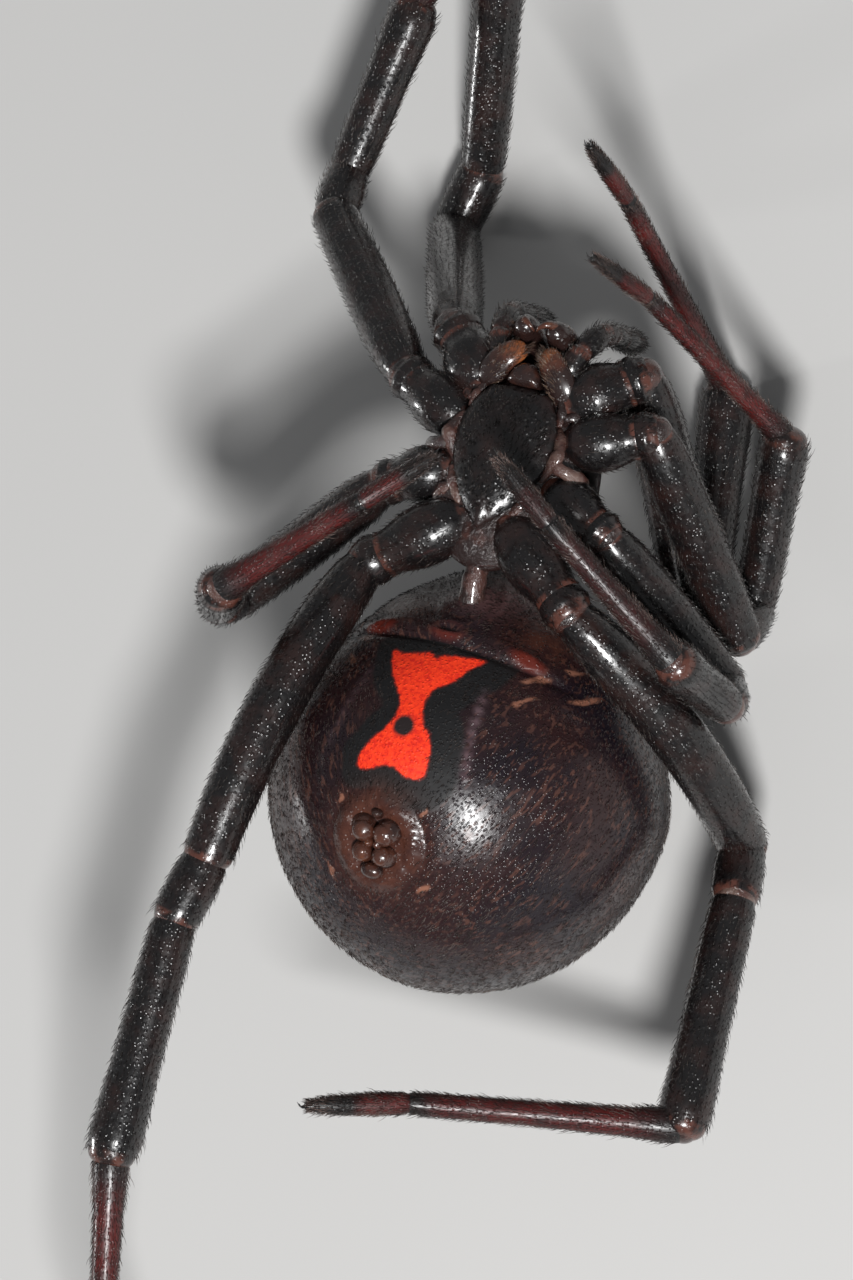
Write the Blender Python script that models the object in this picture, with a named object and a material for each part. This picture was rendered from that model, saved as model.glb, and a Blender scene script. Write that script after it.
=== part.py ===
"""A female black widow spider lying on its back, life size, with a solid for each part of the body.

+X is the spider's left, +Y its front, and +Z its belly side, since it lies belly up.
The origin is the middle of the small flat on its back that rests on the ground.
Lengths are in millimetres, and add_object turns them into metres.
"""
import math

import bmesh
import bpy
from mathutils import Matrix, Vector
from mathutils.bvhtree import BVHTree

METRES_PER_MM = 0.001
BODY_GAP = 0.05                 # between neighbouring parts
SMOOTH_ANGLE = math.radians(40)
NEARLY_UPRIGHT = 0.9            # vertical share beyond which a tube is laid out from the front

# Abdomen, a globe that is deeper on its back than on its belly and tapers towards its front pole
ABDOMEN_CENTRE = Vector((0.0, 0.0, 3.75))
ABDOMEN_HALF_WIDTH = 3.35
ABDOMEN_HALF_LENGTH = 3.6
ABDOMEN_BELLY_DEPTH = 3.4
ABDOMEN_BACK_DEPTH = 3.83
ABDOMEN_FRONT_TAPER = 0.3       # share of width and depth lost at the front pole
ABDOMEN_TAPER_POWER = 1.5
ABDOMEN_RINGS = 20
ABDOMEN_SIDES = 32

# Spinnerets, a low cone on the rear of the belly at this climb from the abdomen's centre
SPINNERET_CLIMB = 110.0
SPINNERET_SHAPE = ((0.0, 0.56), (0.22, 0.52), (0.4, 0.36), (0.48, 0.2))
SPINNERET_SIDES = 16

# Front half of the body: its own frame has its origin on the middle of the sternum, and its nose
# dips by this angle from the abdomen's level
FRONT_BODY_ORIGIN = Vector((0.0, 5.35, 5.95))
FRONT_BODY_DIP = 11.0

# Carapace: place along the body, half width, depth below its flat underside
CARAPACE_UNDERSIDE = -1.0
CARAPACE_SECTIONS = (
    (-1.72, 0.5, 0.28),
    (-1.45, 0.98, 0.5),
    (-0.9, 1.36, 0.66),
    (-0.2, 1.5, 0.7),
    (0.4, 1.38, 0.76),
    (0.9, 1.1, 0.88),
    (1.4, 0.96, 0.94),
    (1.85, 0.88, 0.88),
    (2.05, 0.76, 0.72),
)
CARAPACE_SIDES = 16
CARAPACE_ROUNDNESS = 0.8        # below 1 squares the section

# Sternum: half of its shield outline, from its rear point to its front edge
STERNUM_OUTLINE = ((0.12, -1.2), (0.44, -0.88), (0.78, -0.3), (0.88, 0.18), (0.82, 0.62), (0.56, 1.12))
STERNUM_DEPTH = 0.93
STERNUM_BEVEL = 0.1

# Mouth plate, the lip and the palp bases together
MOUTH_OUTLINE = ((0.42, 1.19), (0.54, 1.42), (0.42, 1.68), (0.2, 1.76))
MOUTH_TOP = -0.06
MOUTH_DEPTH = 0.5

# Chelicerae, which hang below the front of the carapace
CHELICERA_ROOT = Vector((0.31, 1.99, -0.94))
CHELICERA_TIP = Vector((0.27, 2.2, 0.12))
CHELICERA_GIRTH = ((0.0, 0.28), (0.5, 0.28), (0.85, 0.23), (1.0, 0.15))

# Eyes: side angle from the nose and angle below the carapace's underside, seen from its middle
EYE_CENTRE = Vector((0.0, 1.1, -1.2))
EYE_ANGLES = {
    "front_middle": (13.0, 22.0),
    "front_side": (40.0, 24.0),
    "rear_middle": (17.0, 47.0),
    "rear_side": (48.0, 40.0),
}
EYE_SHAPE = ((0.0, 0.085), (0.04, 0.07), (0.07, 0.035))
EYE_SIDES = 8

# Waist, which leaves the abdomen at this climb from its centre and ends behind the sternum
WAIST_RADIUS = 0.18
WAIST_CLIMB = 30.0
WAIST_RISE = 0.22
WAIST_END = (Vector((0.0, 3.42, 5.58)), Vector((0.0, 3.95, 5.54)))

# Palps: heading, pitch, length and end radius of each stretch
PALP_ROOT = Vector((0.74, 1.98, -0.22))
PALP_ROOT_RADIUS = 0.2
PALP_STRETCHES = (
    (74.0, -44.0, 0.5, 0.25),
    (80.0, -84.0, 0.35, 0.26),
    (90.0, -89.0, 0.5, 0.26),
    (90.0, -89.0, 0.75, 0.25),
    (90.0, -89.0, 0.2, 0.15),
)

# Legs, numbered from the front: the hip is where the coxa meets the femur
COXA_ROOTS = {
    1: Vector((0.85, 1.2, -0.5)),
    2: Vector((1.1, 0.5, -0.5)),
    3: Vector((1.05, -0.4, -0.5)),
    4: Vector((0.5, -1.15, -0.5)),
}
HIPS = {
    1: Vector((1.75, 2.0, -0.7)),
    2: Vector((2.3, 1.05, -0.6)),
    3: Vector((2.05, -0.85, -0.6)),
    4: Vector((1.9, -2.25, -0.6)),
}
JOINTED = ("femur", "patella", "tibia", "metatarsus", "tarsus")
LEG_LENGTHS = {
    1: (5.5, 1.2, 4.6, 5.4, 1.8),
    2: (4.2, 1.0, 3.1, 3.7, 1.5),
    3: (3.5, 0.9, 2.0, 3.0, 1.4),
    4: (5.5, 1.15, 4.0, 4.5, 1.75),
}
LEG_THICKNESS = {1: 1.0, 2: 0.92, 3: 0.88, 4: 0.98}
LEG_SIDES = 10
OVERLENGTH = 0.6                # of a segment's radius, left beyond a joint before it is trimmed

# Radius along each segment, as fraction of its length and radius before LEG_THICKNESS
GIRTHS = {
    "coxa": ((0.0, 0.38), (0.3, 0.46), (0.66, 0.43), (0.76, 0.38), (0.9, 0.44), (1.0, 0.42)),
    "femur": ((0.0, 0.38), (0.15, 0.46), (0.5, 0.49), (0.85, 0.46), (1.0, 0.42)),
    "patella": ((0.0, 0.41), (0.5, 0.44), (1.0, 0.41)),
    "tibia": ((0.0, 0.4), (0.2, 0.41), (0.65, 0.42), (0.9, 0.47), (1.0, 0.44)),
}
# Feet are equally thick on all legs
FOOT_GIRTH = {
    "metatarsus": ((0.0, 0.36), (0.12, 0.3), (0.5, 0.27), (1.0, 0.26)),
    "tarsus": ((0.5, 0.255), (0.85, 0.25), (1.0, 0.17)),
}

# Pose: heading from +X towards +Y and pitch above level of each jointed segment, in degrees
LEG_POSES = {
    (1, "right"): ((144, -55), (74, 7), (86, 29), (72, 33), (56, 44)),
    (2, "right"): ((140, -26), (108, -38), (80, 2), (56, 24), (55, 12)),
    (3, "right"): ((-134, -9), (-39, 76), (18, 64), (40, 9), (50, -19)),
    (4, "right"): ((-99, 14), (-101, 9), (-89, 4), (-81, -7), (-59, -9)),
    (1, "left"): ((-78, -33), (151, -64), (100, -5), (105, 62), (103, 71)),
    (2, "left"): ((-67, -40), (107, -52), (85, 22), (139, 49), (147, 65)),
    (3, "left"): ((-46, -41), (-39, 61), (125, 74), (142, 26), (141, 16)),
    (4, "left"): ((-51, -46), (-69, 37), (-83, 14), (-170, 28), (-162, 39)),
}
# Which way and how far the middle of a bowed femur stands off its straight line
FEMUR_BOWS = {
    (4, "right"): (Vector((-0.2, 0.0, 1.0)), 0.35),
    (4, "left"): (Vector((1.0, 0.0, 0.7)), 0.6),
    (1, "left"): (Vector((0.0, 0.0, -1.0)), 0.3),
}

# Colours, roughness and metallic value of each material
MATERIALS = {
    "abdomen_black": ((0.018, 0.011, 0.012), 0.3, 0.0),
    "shell_black": ((0.012, 0.01, 0.01), 0.28, 0.0),
    "leg_black": ((0.014, 0.011, 0.011), 0.32, 0.0),
    "foot_brown": ((0.09, 0.018, 0.014), 0.35, 0.0),
    "mouth_brown": ((0.12, 0.045, 0.02), 0.35, 0.0),
    "joint_skin": ((0.2, 0.12, 0.1), 0.5, 0.0),
    "eye_black": ((0.01, 0.01, 0.012), 0.08, 0.0),
}

SIDES = {"left": 1.0, "right": -1.0}


def clear_scene():
    """Remove every object, so that the model starts from nothing."""
    for thing in list(bpy.data.objects):
        bpy.data.objects.remove(thing, do_unlink=True)


def make_materials():
    """One Principled material for each finish."""
    made = {}
    for name, (colour, roughness, metallic) in MATERIALS.items():
        material = bpy.data.materials.new(name)
        material.use_nodes = True
        shader = material.node_tree.nodes["Principled BSDF"]
        shader.inputs["Base Color"].default_value = (*colour, 1.0)
        shader.inputs["Roughness"].default_value = roughness
        shader.inputs["Metallic"].default_value = metallic
        made[name] = material
    return made


def add_object(name, solid, material):
    """Turn a closed bmesh in millimetres into an object in metres."""
    bmesh.ops.recalc_face_normals(solid, faces=solid.faces)
    bmesh.ops.scale(solid, vec=Vector((1, 1, 1)) * METRES_PER_MM, verts=solid.verts)
    mesh = bpy.data.meshes.new(name)
    solid.to_mesh(mesh)
    solid.free()
    mesh.shade_smooth()
    mesh.set_sharp_from_angle(angle=SMOOTH_ANGLE)
    mesh.materials.append(material)
    thing = bpy.data.objects.new(name, mesh)
    bpy.context.scene.collection.objects.link(thing)
    return thing


def direction(heading, pitch):
    """Unit vector at a heading from +X towards +Y and a pitch above level, in degrees."""
    turn = math.radians(heading)
    climb = math.radians(pitch)
    level = math.cos(climb)
    return Vector((level * math.cos(turn), level * math.sin(turn), math.sin(climb)))


def front_body(point, side=1.0):
    """Body place of a point given in the front body's frame for the left side, mirrored for the right."""
    turned = Matrix.Rotation(-math.radians(FRONT_BODY_DIP), 3, "X") @ point
    placed = FRONT_BODY_ORIGIN + turned
    placed.x *= side
    return placed


def bridge(solid, rings):
    """Join each ring of vertices to the next and close both ends."""
    for ring, following in zip(rings, rings[1:]):
        for index in range(len(ring)):
            beside = (index + 1) % len(ring)
            solid.faces.new((ring[index], ring[beside], following[beside], following[index]))
    solid.faces.new(list(reversed(rings[0])))
    solid.faces.new(rings[-1])


def tube(stations, sides):
    """Closed tube through stations of centre and radius, along a line with no sharp bend."""
    solid = bmesh.new()
    centres = [centre for centre, radius in stations]
    along = centres[-1] - centres[0]
    reference = Vector((0, 0, 1)) if abs(along.normalized().z) < NEARLY_UPRIGHT else Vector((0, 1, 0))
    rings = []
    for index, (centre, radius) in enumerate(stations):
        before = centres[max(index - 1, 0)]
        after = centres[min(index + 1, len(centres) - 1)]
        tangent = (after - before).normalized()
        across = tangent.cross(reference).normalized()
        upright = across.cross(tangent)
        ring = []
        for step in range(sides):
            angle = 2 * math.pi * step / sides
            offset = across * math.cos(angle) + upright * math.sin(angle)
            ring.append(solid.verts.new(centre + offset * radius))
        rings.append(ring)
    bridge(solid, rings)
    return solid


def cut_away(solid, point, normal):
    """Remove what lies beyond a plane, on the side its normal points to, and close the cut."""
    everything = solid.verts[:] + solid.edges[:] + solid.faces[:]
    cut = bmesh.ops.bisect_plane(
        solid, geom=everything, plane_co=point, plane_no=normal, clear_outer=True
    )
    rim = [item for item in cut["geom_cut"] if isinstance(item, bmesh.types.BMEdge)]
    if rim:
        bmesh.ops.contextual_create(solid, geom=rim)


def rest_on_ground(solid):
    """Flatten whatever would reach below the ground."""
    cut_away(solid, Vector((0, 0, 0)), Vector((0, 0, -1)))


def extruded(outline, top, bottom):
    """Plate with a mirrored outline in the front body's frame, between two depths."""
    mirrored = [(-x, y) for x, y in reversed(outline)]
    solid = bmesh.new()
    rings = []
    for depth in (bottom, top):
        ring = [solid.verts.new(Vector((x, y, depth))) for x, y in list(outline) + mirrored]
        rings.append(ring)
    bridge(solid, rings)
    return solid


def place_on_front_body(solid):
    """Move a solid made in the front body's frame to its place."""
    turn = Matrix.Rotation(-math.radians(FRONT_BODY_DIP), 4, "X")
    bmesh.ops.transform(solid, matrix=Matrix.Translation(FRONT_BODY_ORIGIN) @ turn, verts=solid.verts)


def make_abdomen():
    """Globe of rings from the rear pole to the front pole, flat where it rests."""
    solid = bmesh.new()
    rings = []
    for number in range(1, ABDOMEN_RINGS):
        along = math.pi * number / ABDOMEN_RINGS
        ring = []
        for step in range(ABDOMEN_SIDES):
            angle = 2 * math.pi * step / ABDOMEN_SIDES
            height = math.sin(angle)
            depth = ABDOMEN_BELLY_DEPTH if height > 0 else ABDOMEN_BACK_DEPTH
            forward = max(-math.cos(along), 0.0)
            spread = math.sin(along) * (1 - ABDOMEN_FRONT_TAPER * forward ** ABDOMEN_TAPER_POWER)
            ring.append(solid.verts.new(ABDOMEN_CENTRE + Vector((
                math.cos(angle) * spread * ABDOMEN_HALF_WIDTH,
                -math.cos(along) * ABDOMEN_HALF_LENGTH,
                height * spread * depth,
            ))))
        rings.append(ring)
    bridge(solid, rings)
    for cap, sign in ((rings[0], -1.0), (rings[-1], 1.0)):
        face = next(face for face in solid.faces if set(face.verts) == set(cap))
        fan = bmesh.ops.poke(solid, faces=[face])
        fan["verts"][0].co = ABDOMEN_CENTRE + Vector((0, sign * ABDOMEN_HALF_LENGTH, 0))
    rest_on_ground(solid)
    bmesh.ops.recalc_face_normals(solid, faces=solid.faces)
    return solid


def on_abdomen(abdomen_tree, climb):
    """Place and outward direction where a line from the abdomen's centre leaves it, by its climb."""
    outward = direction(90.0, climb)
    place, normal, face, distance = abdomen_tree.ray_cast(ABDOMEN_CENTRE, outward)
    return place, normal


def make_spinnerets(abdomen_tree):
    """Low cone standing on the rear of the belly."""
    place, outward = on_abdomen(abdomen_tree, SPINNERET_CLIMB)
    base = place + outward * BODY_GAP
    stations = [(base + outward * height, radius) for height, radius in SPINNERET_SHAPE]
    return tube(stations, SPINNERET_SIDES)


def make_carapace():
    """Dome on the spider's back, built from sections across a flat underside."""
    solid = bmesh.new()
    rings = []
    for place, half_width, depth in CARAPACE_SECTIONS:
        ring = []
        for step in range(CARAPACE_SIDES + 1):
            angle = math.pi * step / CARAPACE_SIDES
            drop = math.sin(angle) ** CARAPACE_ROUNDNESS * depth
            ring.append(solid.verts.new(Vector((
                math.cos(angle) * half_width,
                place,
                CARAPACE_UNDERSIDE - drop,
            ))))
        rings.append(ring)
    bridge(solid, rings)
    place_on_front_body(solid)
    bmesh.ops.recalc_face_normals(solid, faces=solid.faces)
    return solid


def make_sternum():
    """Shield on the belly side between the legs."""
    solid = extruded(STERNUM_OUTLINE, 0.0, -STERNUM_DEPTH)
    rim = [edge for edge in solid.edges if all(vert.co.z == 0.0 for vert in edge.verts)]
    bmesh.ops.bevel(solid, geom=rim, offset=STERNUM_BEVEL, segments=1, affect="EDGES")
    place_on_front_body(solid)
    return solid


def make_mouth():
    """Lip and palp bases in front of the sternum."""
    solid = extruded(MOUTH_OUTLINE, MOUTH_TOP, MOUTH_TOP - MOUTH_DEPTH)
    place_on_front_body(solid)
    return solid


def make_waist(abdomen_tree):
    """Short stalk that stands on the abdomen and bends forwards to the sternum."""
    place, outward = on_abdomen(abdomen_tree, WAIST_CLIMB)
    centres = [place + outward * BODY_GAP, place + outward * WAIST_RISE, *WAIST_END]
    return tube([(centre, WAIST_RADIUS) for centre in centres], LEG_SIDES)


def straight_stations(root, tip, girth, thickness=1.0):
    """Stations of a straight part, from its girth as fractions of length and radii."""
    return [(root.lerp(tip, part), radius * thickness) for part, radius in girth]


def make_chelicera(side):
    """Stout jaw that hangs below the front of the carapace."""
    root = front_body(CHELICERA_ROOT, side)
    tip = front_body(CHELICERA_TIP, side)
    return tube(straight_stations(root, tip, CHELICERA_GIRTH), LEG_SIDES)


def make_palp(side):
    """Feeler beside the jaws, bent down along its stretches."""
    place = front_body(PALP_ROOT, side)
    stations = [(place, PALP_ROOT_RADIUS)]
    for heading, pitch, length, radius in PALP_STRETCHES:
        step = direction(heading, pitch) * length
        step.x *= side
        place = place + step
        stations.append((place, radius))
    return tube(stations, LEG_SIDES)


def make_eye(carapace_tree, kind, side):
    """Small lens standing on the carapace, where a line from the head's middle leaves it."""
    turn, climb = EYE_ANGLES[kind]
    heading = Vector((
        math.sin(math.radians(turn)) * math.cos(math.radians(climb)),
        math.cos(math.radians(turn)) * math.cos(math.radians(climb)),
        -math.sin(math.radians(climb)),
    ))
    start = front_body(EYE_CENTRE)
    outward = (front_body(EYE_CENTRE + heading, side) - start).normalized()
    place, normal, face, distance = carapace_tree.ray_cast(start, outward)
    foot = place + normal * BODY_GAP / 2
    return tube([(foot + normal * height, radius) for height, radius in EYE_SHAPE], EYE_SIDES)


def leg_joints(number, side_name):
    """Places of a leg's joints, from the coxa's root to the tip."""
    side = SIDES[side_name]
    joints = [front_body(COXA_ROOTS[number], side), front_body(HIPS[number], side)]
    for length, (heading, pitch) in zip(LEG_LENGTHS[number], LEG_POSES[(number, side_name)]):
        joints.append(joints[-1] + direction(heading, pitch) * length)
    return joints


def bow_of(number, side_name, start, end):
    """How far and which way the middle of a femur stands off its straight line."""
    away, amount = FEMUR_BOWS.get((number, side_name), (Vector((0, 0, 1)), 0.0))
    along = (end - start).normalized()
    return (away - along * away.dot(along)).normalized() * amount


def segment_stations(start, end, girth, thickness, bow):
    """Stations of one leg segment, with an overlength at both ends for the cuts to trim."""
    overlength = (end - start).normalized() * thickness * girth[0][1] * OVERLENGTH
    stations = []
    for part, radius in girth:
        centre = start.lerp(end, part) + bow * 4 * part * (1 - part)
        stations.append((centre, radius * thickness))
    first, first_radius = stations[0]
    last, last_radius = stations[-1]
    return [(first - overlength, first_radius)] + stations + [(last + overlength, last_radius)]


def cut_at_joint(solid, joint, before, after, ending):
    """Trim a segment at the plane that halves the bend of a joint, leaving half of the gap."""
    normal = ((joint - before).normalized() + (after - joint).normalized()).normalized()
    if ending:
        cut_away(solid, joint - normal * BODY_GAP / 2, normal)
    else:
        cut_away(solid, joint + normal * BODY_GAP / 2, -normal)


def make_coxa(number, side_name):
    """First segment of a leg, trimmed against its neighbours and the carapace."""
    side = SIDES[side_name]
    root, hip, knee = leg_joints(number, side_name)[:3]
    stations = straight_stations(root, hip, GIRTHS["coxa"], LEG_THICKNESS[number])
    last, last_radius = stations[-1]
    stations.append((last + (hip - root).normalized() * last_radius * OVERLENGTH, last_radius))
    solid = tube(stations, LEG_SIDES)
    cut_at_joint(solid, hip, root, knee, ending=True)
    resting = front_body(Vector((0, 0, CARAPACE_UNDERSIDE + BODY_GAP)))
    cut_away(solid, resting, front_body(Vector((0, 0, CARAPACE_UNDERSIDE))) - resting)
    for neighbour in (number - 1, number + 1):
        if neighbour not in HIPS:
            continue
        between = (COXA_ROOTS[number] + COXA_ROOTS[neighbour]) / 2
        outward = (HIPS[number] + HIPS[neighbour]) / 2 - between
        across = outward.cross(Vector((0, 0, 1))).normalized()
        towards = 1.0 if across.dot(COXA_ROOTS[neighbour] - COXA_ROOTS[number]) > 0 else -1.0
        middle = front_body(between, side)
        normal = (front_body(between + across * towards, side) - middle).normalized()
        cut_away(solid, middle - normal * BODY_GAP / 2, normal)
    return solid


def make_segment(joints, index, number, side_name):
    """Femur, patella or tibia, trimmed at both of its joints."""
    before, start, end, after = joints[index - 1:index + 3]
    kind = JOINTED[index - 1]
    bow = bow_of(number, side_name, start, end) if kind == "femur" else Vector((0, 0, 0))
    stations = segment_stations(start, end, GIRTHS[kind], LEG_THICKNESS[number], bow)
    solid = tube(stations, LEG_SIDES)
    cut_at_joint(solid, start, before, end, ending=False)
    cut_at_joint(solid, end, start, after, ending=True)
    rest_on_ground(solid)
    return solid


def make_foot(joints):
    """Metatarsus and tarsus, which run on from each other with a slight bend."""
    before, start, ankle, tip = joints[3:7]
    stations = straight_stations(start, ankle, FOOT_GIRTH["metatarsus"])
    stations += straight_stations(ankle, tip, FOOT_GIRTH["tarsus"])
    first, first_radius = stations[0]
    overlength = (ankle - start).normalized() * first_radius * OVERLENGTH
    stations = [(first - overlength, first_radius)] + stations
    solid = tube(stations, LEG_SIDES)
    cut_at_joint(solid, start, before, ankle, ending=False)
    rest_on_ground(solid)
    return solid


def build_legs(materials):
    """Five solids for each of the eight legs."""
    for side_name in SIDES:
        for number in HIPS:
            leg = f"leg_{number}_{side_name}"
            joints = leg_joints(number, side_name)
            add_object(f"{leg}_coxa", make_coxa(number, side_name), materials["leg_black"])
            for index in (1, 2, 3):
                solid = make_segment(joints, index, number, side_name)
                add_object(f"{leg}_{JOINTED[index - 1]}", solid, materials["leg_black"])
            add_object(f"{leg}_foot", make_foot(joints), materials["foot_brown"])


def build_body(materials):
    """Abdomen, spinnerets, waist, carapace with its eyes, sternum, mouth, jaws and palps."""
    abdomen = make_abdomen()
    abdomen_tree = BVHTree.FromBMesh(abdomen)
    add_object("abdomen", abdomen, materials["abdomen_black"])
    add_object("spinnerets", make_spinnerets(abdomen_tree), materials["mouth_brown"])
    add_object("waist", make_waist(abdomen_tree), materials["joint_skin"])
    carapace = make_carapace()
    carapace_tree = BVHTree.FromBMesh(carapace)
    for side_name, side in SIDES.items():
        for kind in EYE_ANGLES:
            eye = make_eye(carapace_tree, kind, side)
            add_object(f"eye_{kind}_{side_name}", eye, materials["eye_black"])
        add_object(f"chelicera_{side_name}", make_chelicera(side), materials["shell_black"])
        add_object(f"palp_{side_name}", make_palp(side), materials["leg_black"])
    add_object("carapace", carapace, materials["shell_black"])
    add_object("sternum", make_sternum(), materials["shell_black"])
    add_object("mouth", make_mouth(), materials["mouth_brown"])


def main():
    clear_scene()
    materials = make_materials()
    build_body(materials)
    build_legs(materials)


main()
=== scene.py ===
"""Looks of the black widow spider: cuticle, joints, eyes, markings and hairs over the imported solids.

+X is the spider's left, +Y its front and +Z its belly side, which is up.
Lengths are in millimetres, and new_object turns them into metres.
"""
import math

import bpy
import numpy as np
from mathutils import Matrix, Vector
from mathutils.bvhtree import BVHTree


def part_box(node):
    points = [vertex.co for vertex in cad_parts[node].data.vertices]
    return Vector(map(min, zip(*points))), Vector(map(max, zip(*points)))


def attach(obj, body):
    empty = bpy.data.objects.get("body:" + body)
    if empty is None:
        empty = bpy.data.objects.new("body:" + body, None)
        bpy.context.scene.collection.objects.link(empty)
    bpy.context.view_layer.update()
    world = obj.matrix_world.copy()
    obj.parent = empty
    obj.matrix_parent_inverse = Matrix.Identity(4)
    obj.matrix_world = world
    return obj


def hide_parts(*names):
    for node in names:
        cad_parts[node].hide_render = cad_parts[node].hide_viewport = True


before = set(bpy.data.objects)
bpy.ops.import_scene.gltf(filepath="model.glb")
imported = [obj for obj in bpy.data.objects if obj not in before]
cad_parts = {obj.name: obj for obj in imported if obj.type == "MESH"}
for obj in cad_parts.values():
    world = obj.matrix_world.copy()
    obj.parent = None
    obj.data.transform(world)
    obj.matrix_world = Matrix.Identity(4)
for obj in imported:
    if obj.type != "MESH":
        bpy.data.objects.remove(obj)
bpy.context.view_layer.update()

MM = 0.001
SEED = 7
SIDES = {"left": 1.0, "right": -1.0}
BAKE_MAP = "OFBake"
BAKE_PATCH = 0.0013              # half the width of a hair's patch on the bake map
BAKE_MARGIN = 0.02

# Picture that the camera is fitted to
PICTURE_HEIGHT = 1280
PICTURE_SCALE = 60.0             # pixels in a millimetre at the abdomen
CAMERA_DISTANCE = 110.0
CAMERA_RIGHT = Vector((0.886, 0.246, -0.394))
CAMERA_BACK = Vector((0.406, 0.0, 0.914))
CAMERA_AIM = Vector((0.0, -0.2, 3.75))
CAMERA_SLIDE = (-0.675, 2.5)
SENSOR = 36.0

# Abdomen
ABDOMEN_CENTRE = np.array((0.0, 0.0, 3.75))
ABDOMEN_HALF = (3.33, 3.58)
ABDOMEN_BELLY_DEPTH = 3.38
ABDOMEN_BACK_DEPTH = 3.81
ABDOMEN_FRONT_TAPER = 0.3
ABDOMEN_TAPER_POWER = 1.5
ABDOMEN_ROWS = 256
ABDOMEN_COLUMNS = 388

# Marks on the belly, in plan: the hourglass's outline, from its right front corner round by its left
HOURGLASS = (
    (-0.84, 1.8), (-0.55, 1.74), (-0.12, 1.89), (0.02, 1.8), (0.16, 1.9), (0.45, 1.93), (0.85, 1.97),
    (0.6, 1.75), (0.52, 1.52), (0.22, 1.3), (0.21, 1.05), (0.3, 0.76), (0.5, 0.58), (0.61, 0.36),
    (0.65, 0.1), (0.65, -0.14), (0.45, -0.18), (0.26, -0.16), (0.14, -0.06), (-0.08, -0.06),
    (-0.26, -0.18), (-0.52, -0.25), (-0.6, -0.06), (-0.44, 0.26), (-0.26, 0.5), (-0.16, 0.72),
    (-0.16, 0.94), (-0.28, 1.12), (-0.48, 1.3), (-0.65, 1.5),
)
HOURGLASS_DOT = (0.04, 0.62, 0.155)
FLOW_POLE = (-0.42, -0.88, 0.22)  # where the hairs and streaks of the left half point
SPINNERET_PLACE = (0.0, -1.3)
FURROW_PLACE = 2.1
FURROW_CURVE = 0.07
LUNG_PLACE = (1.32, 2.08)
EPIGYNUM_PLACE = (-0.04, 2.24)
STALK_PLACE = 2.82               # where the waist leaves the abdomen

# Front half of the body, in its own dipped frame with its origin on the sternum
FRONT_BODY_ORIGIN = Vector((0.0, 5.35, 5.95))
FRONT_BODY_DIP = 11.0
CARAPACE_UNDERSIDE = -1.0
COXA_ROOTS = {
    1: (0.85, 1.2, -0.5),
    2: (1.1, 0.5, -0.5),
    3: (1.05, -0.4, -0.5),
    4: (0.5, -1.15, -0.5),
}

# Legs: radius of each part along its length, before the leg's thickness
LEG_THICKNESS = {1: 1.0, 2: 0.92, 3: 0.88, 4: 0.98}
COXA_SHARE = 0.78                # of the way from the coxa's root to the hip
COXA_INSET = 0.16                # start of the coxa inwards of its root
TROCHANTER_INSET = 0.05
METATARSUS_SHARES = {1: 0.75, 2: 0.712, 3: 0.682, 4: 0.72}
FOOT_THICKNESS = {1: 0.78, 2: 0.74, 3: 0.95, 4: 1.0}
FOOT_RED = {"leg_3_left": 0.42, "leg_3_right": 0.85, "leg_4_left": 0.85}
PROFILES = {
    "coxa": ((0.0, 0.3), (0.14, 0.44), (0.4, 0.54), (0.65, 0.52), (0.85, 0.43), (0.92, 0.4), (1.0, 0.41)),
    "trochanter": ((0.0, 0.35), (0.3, 0.42), (0.7, 0.45), (1.0, 0.39)),
    "femur": ((0.0, 0.34), (0.05, 0.41), (0.16, 0.465), (0.5, 0.48), (0.82, 0.455), (0.93, 0.43),
              (0.965, 0.44), (1.0, 0.41)),
    "patella": ((0.0, 0.35), (0.12, 0.4), (0.5, 0.43), (0.86, 0.415), (0.94, 0.42), (1.0, 0.38)),
    "tibia": ((0.0, 0.34), (0.05, 0.38), (0.2, 0.4), (0.6, 0.41), (0.88, 0.455), (0.95, 0.46),
              (1.0, 0.39)),
    "metatarsus": ((0.0, 0.27), (0.03, 0.3), (0.08, 0.29), (0.2, 0.24), (0.6, 0.2), (0.94, 0.19),
                   (1.0, 0.17)),
    "tarsus": ((0.0, 0.15), (0.06, 0.18), (0.35, 0.185), (0.75, 0.15), (0.95, 0.1), (1.0, 0.075)),
}
PART_SIDES = 36
THIN_SIDES = 28
RING_SPACING = 0.08
FEWEST_RINGS = 12
CAP_RINGS = 7
CAP_LENGTH = 0.6                 # of the radius at that end

# Hairs on each part: rows round it, spacing along a row, length
HAIR_ROWS = {
    "coxa": (20, 0.11, 0.13),
    "trochanter": (20, 0.1, 0.14),
    "femur": (26, 0.12, 0.15),
    "patella": (24, 0.12, 0.15),
    "tibia": (26, 0.11, 0.16),
    "metatarsus": (24, 0.068, 0.14),
    "tarsus": (24, 0.05, 0.12),
}
HAIR_RADIUS = 0.0062
HAIR_LIFT = (12.0, 36.0)         # degrees off the surface
HAIR_JITTER = (0.35, 0.28)       # along a row and across it, in steps
HAIR_SWAY = 0.12
HAIR_LENGTHS = (0.7, 1.25)       # of the part's hair length
LONG_HAIRS = (0.05, 1.7)         # share of the hairs, and how many times longer they are
HAIR_POINTS = 7                  # two rings of three, and the tip
HAIR_RINGS = ((0.0, 1.0), (0.55, 0.75))
HAIR_DROOP = 0.105               # of its length that a tip bends back towards the skin
SEEDS = {"belly": 201, "back": 202, "sternum": 301, "mouth": 311, "palps": 400}


def numbers(seed):
    return np.random.default_rng(SEED + seed)


def unit(vectors):
    """Vectors of length one, for one vector or rows of them."""
    lengths = np.linalg.norm(vectors, axis=-1, keepdims=True)
    return vectors / np.maximum(lengths, 1e-9)


def front_matrix():
    return Matrix.Translation(FRONT_BODY_ORIGIN) @ Matrix.Rotation(-math.radians(FRONT_BODY_DIP), 4, "X")


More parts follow.
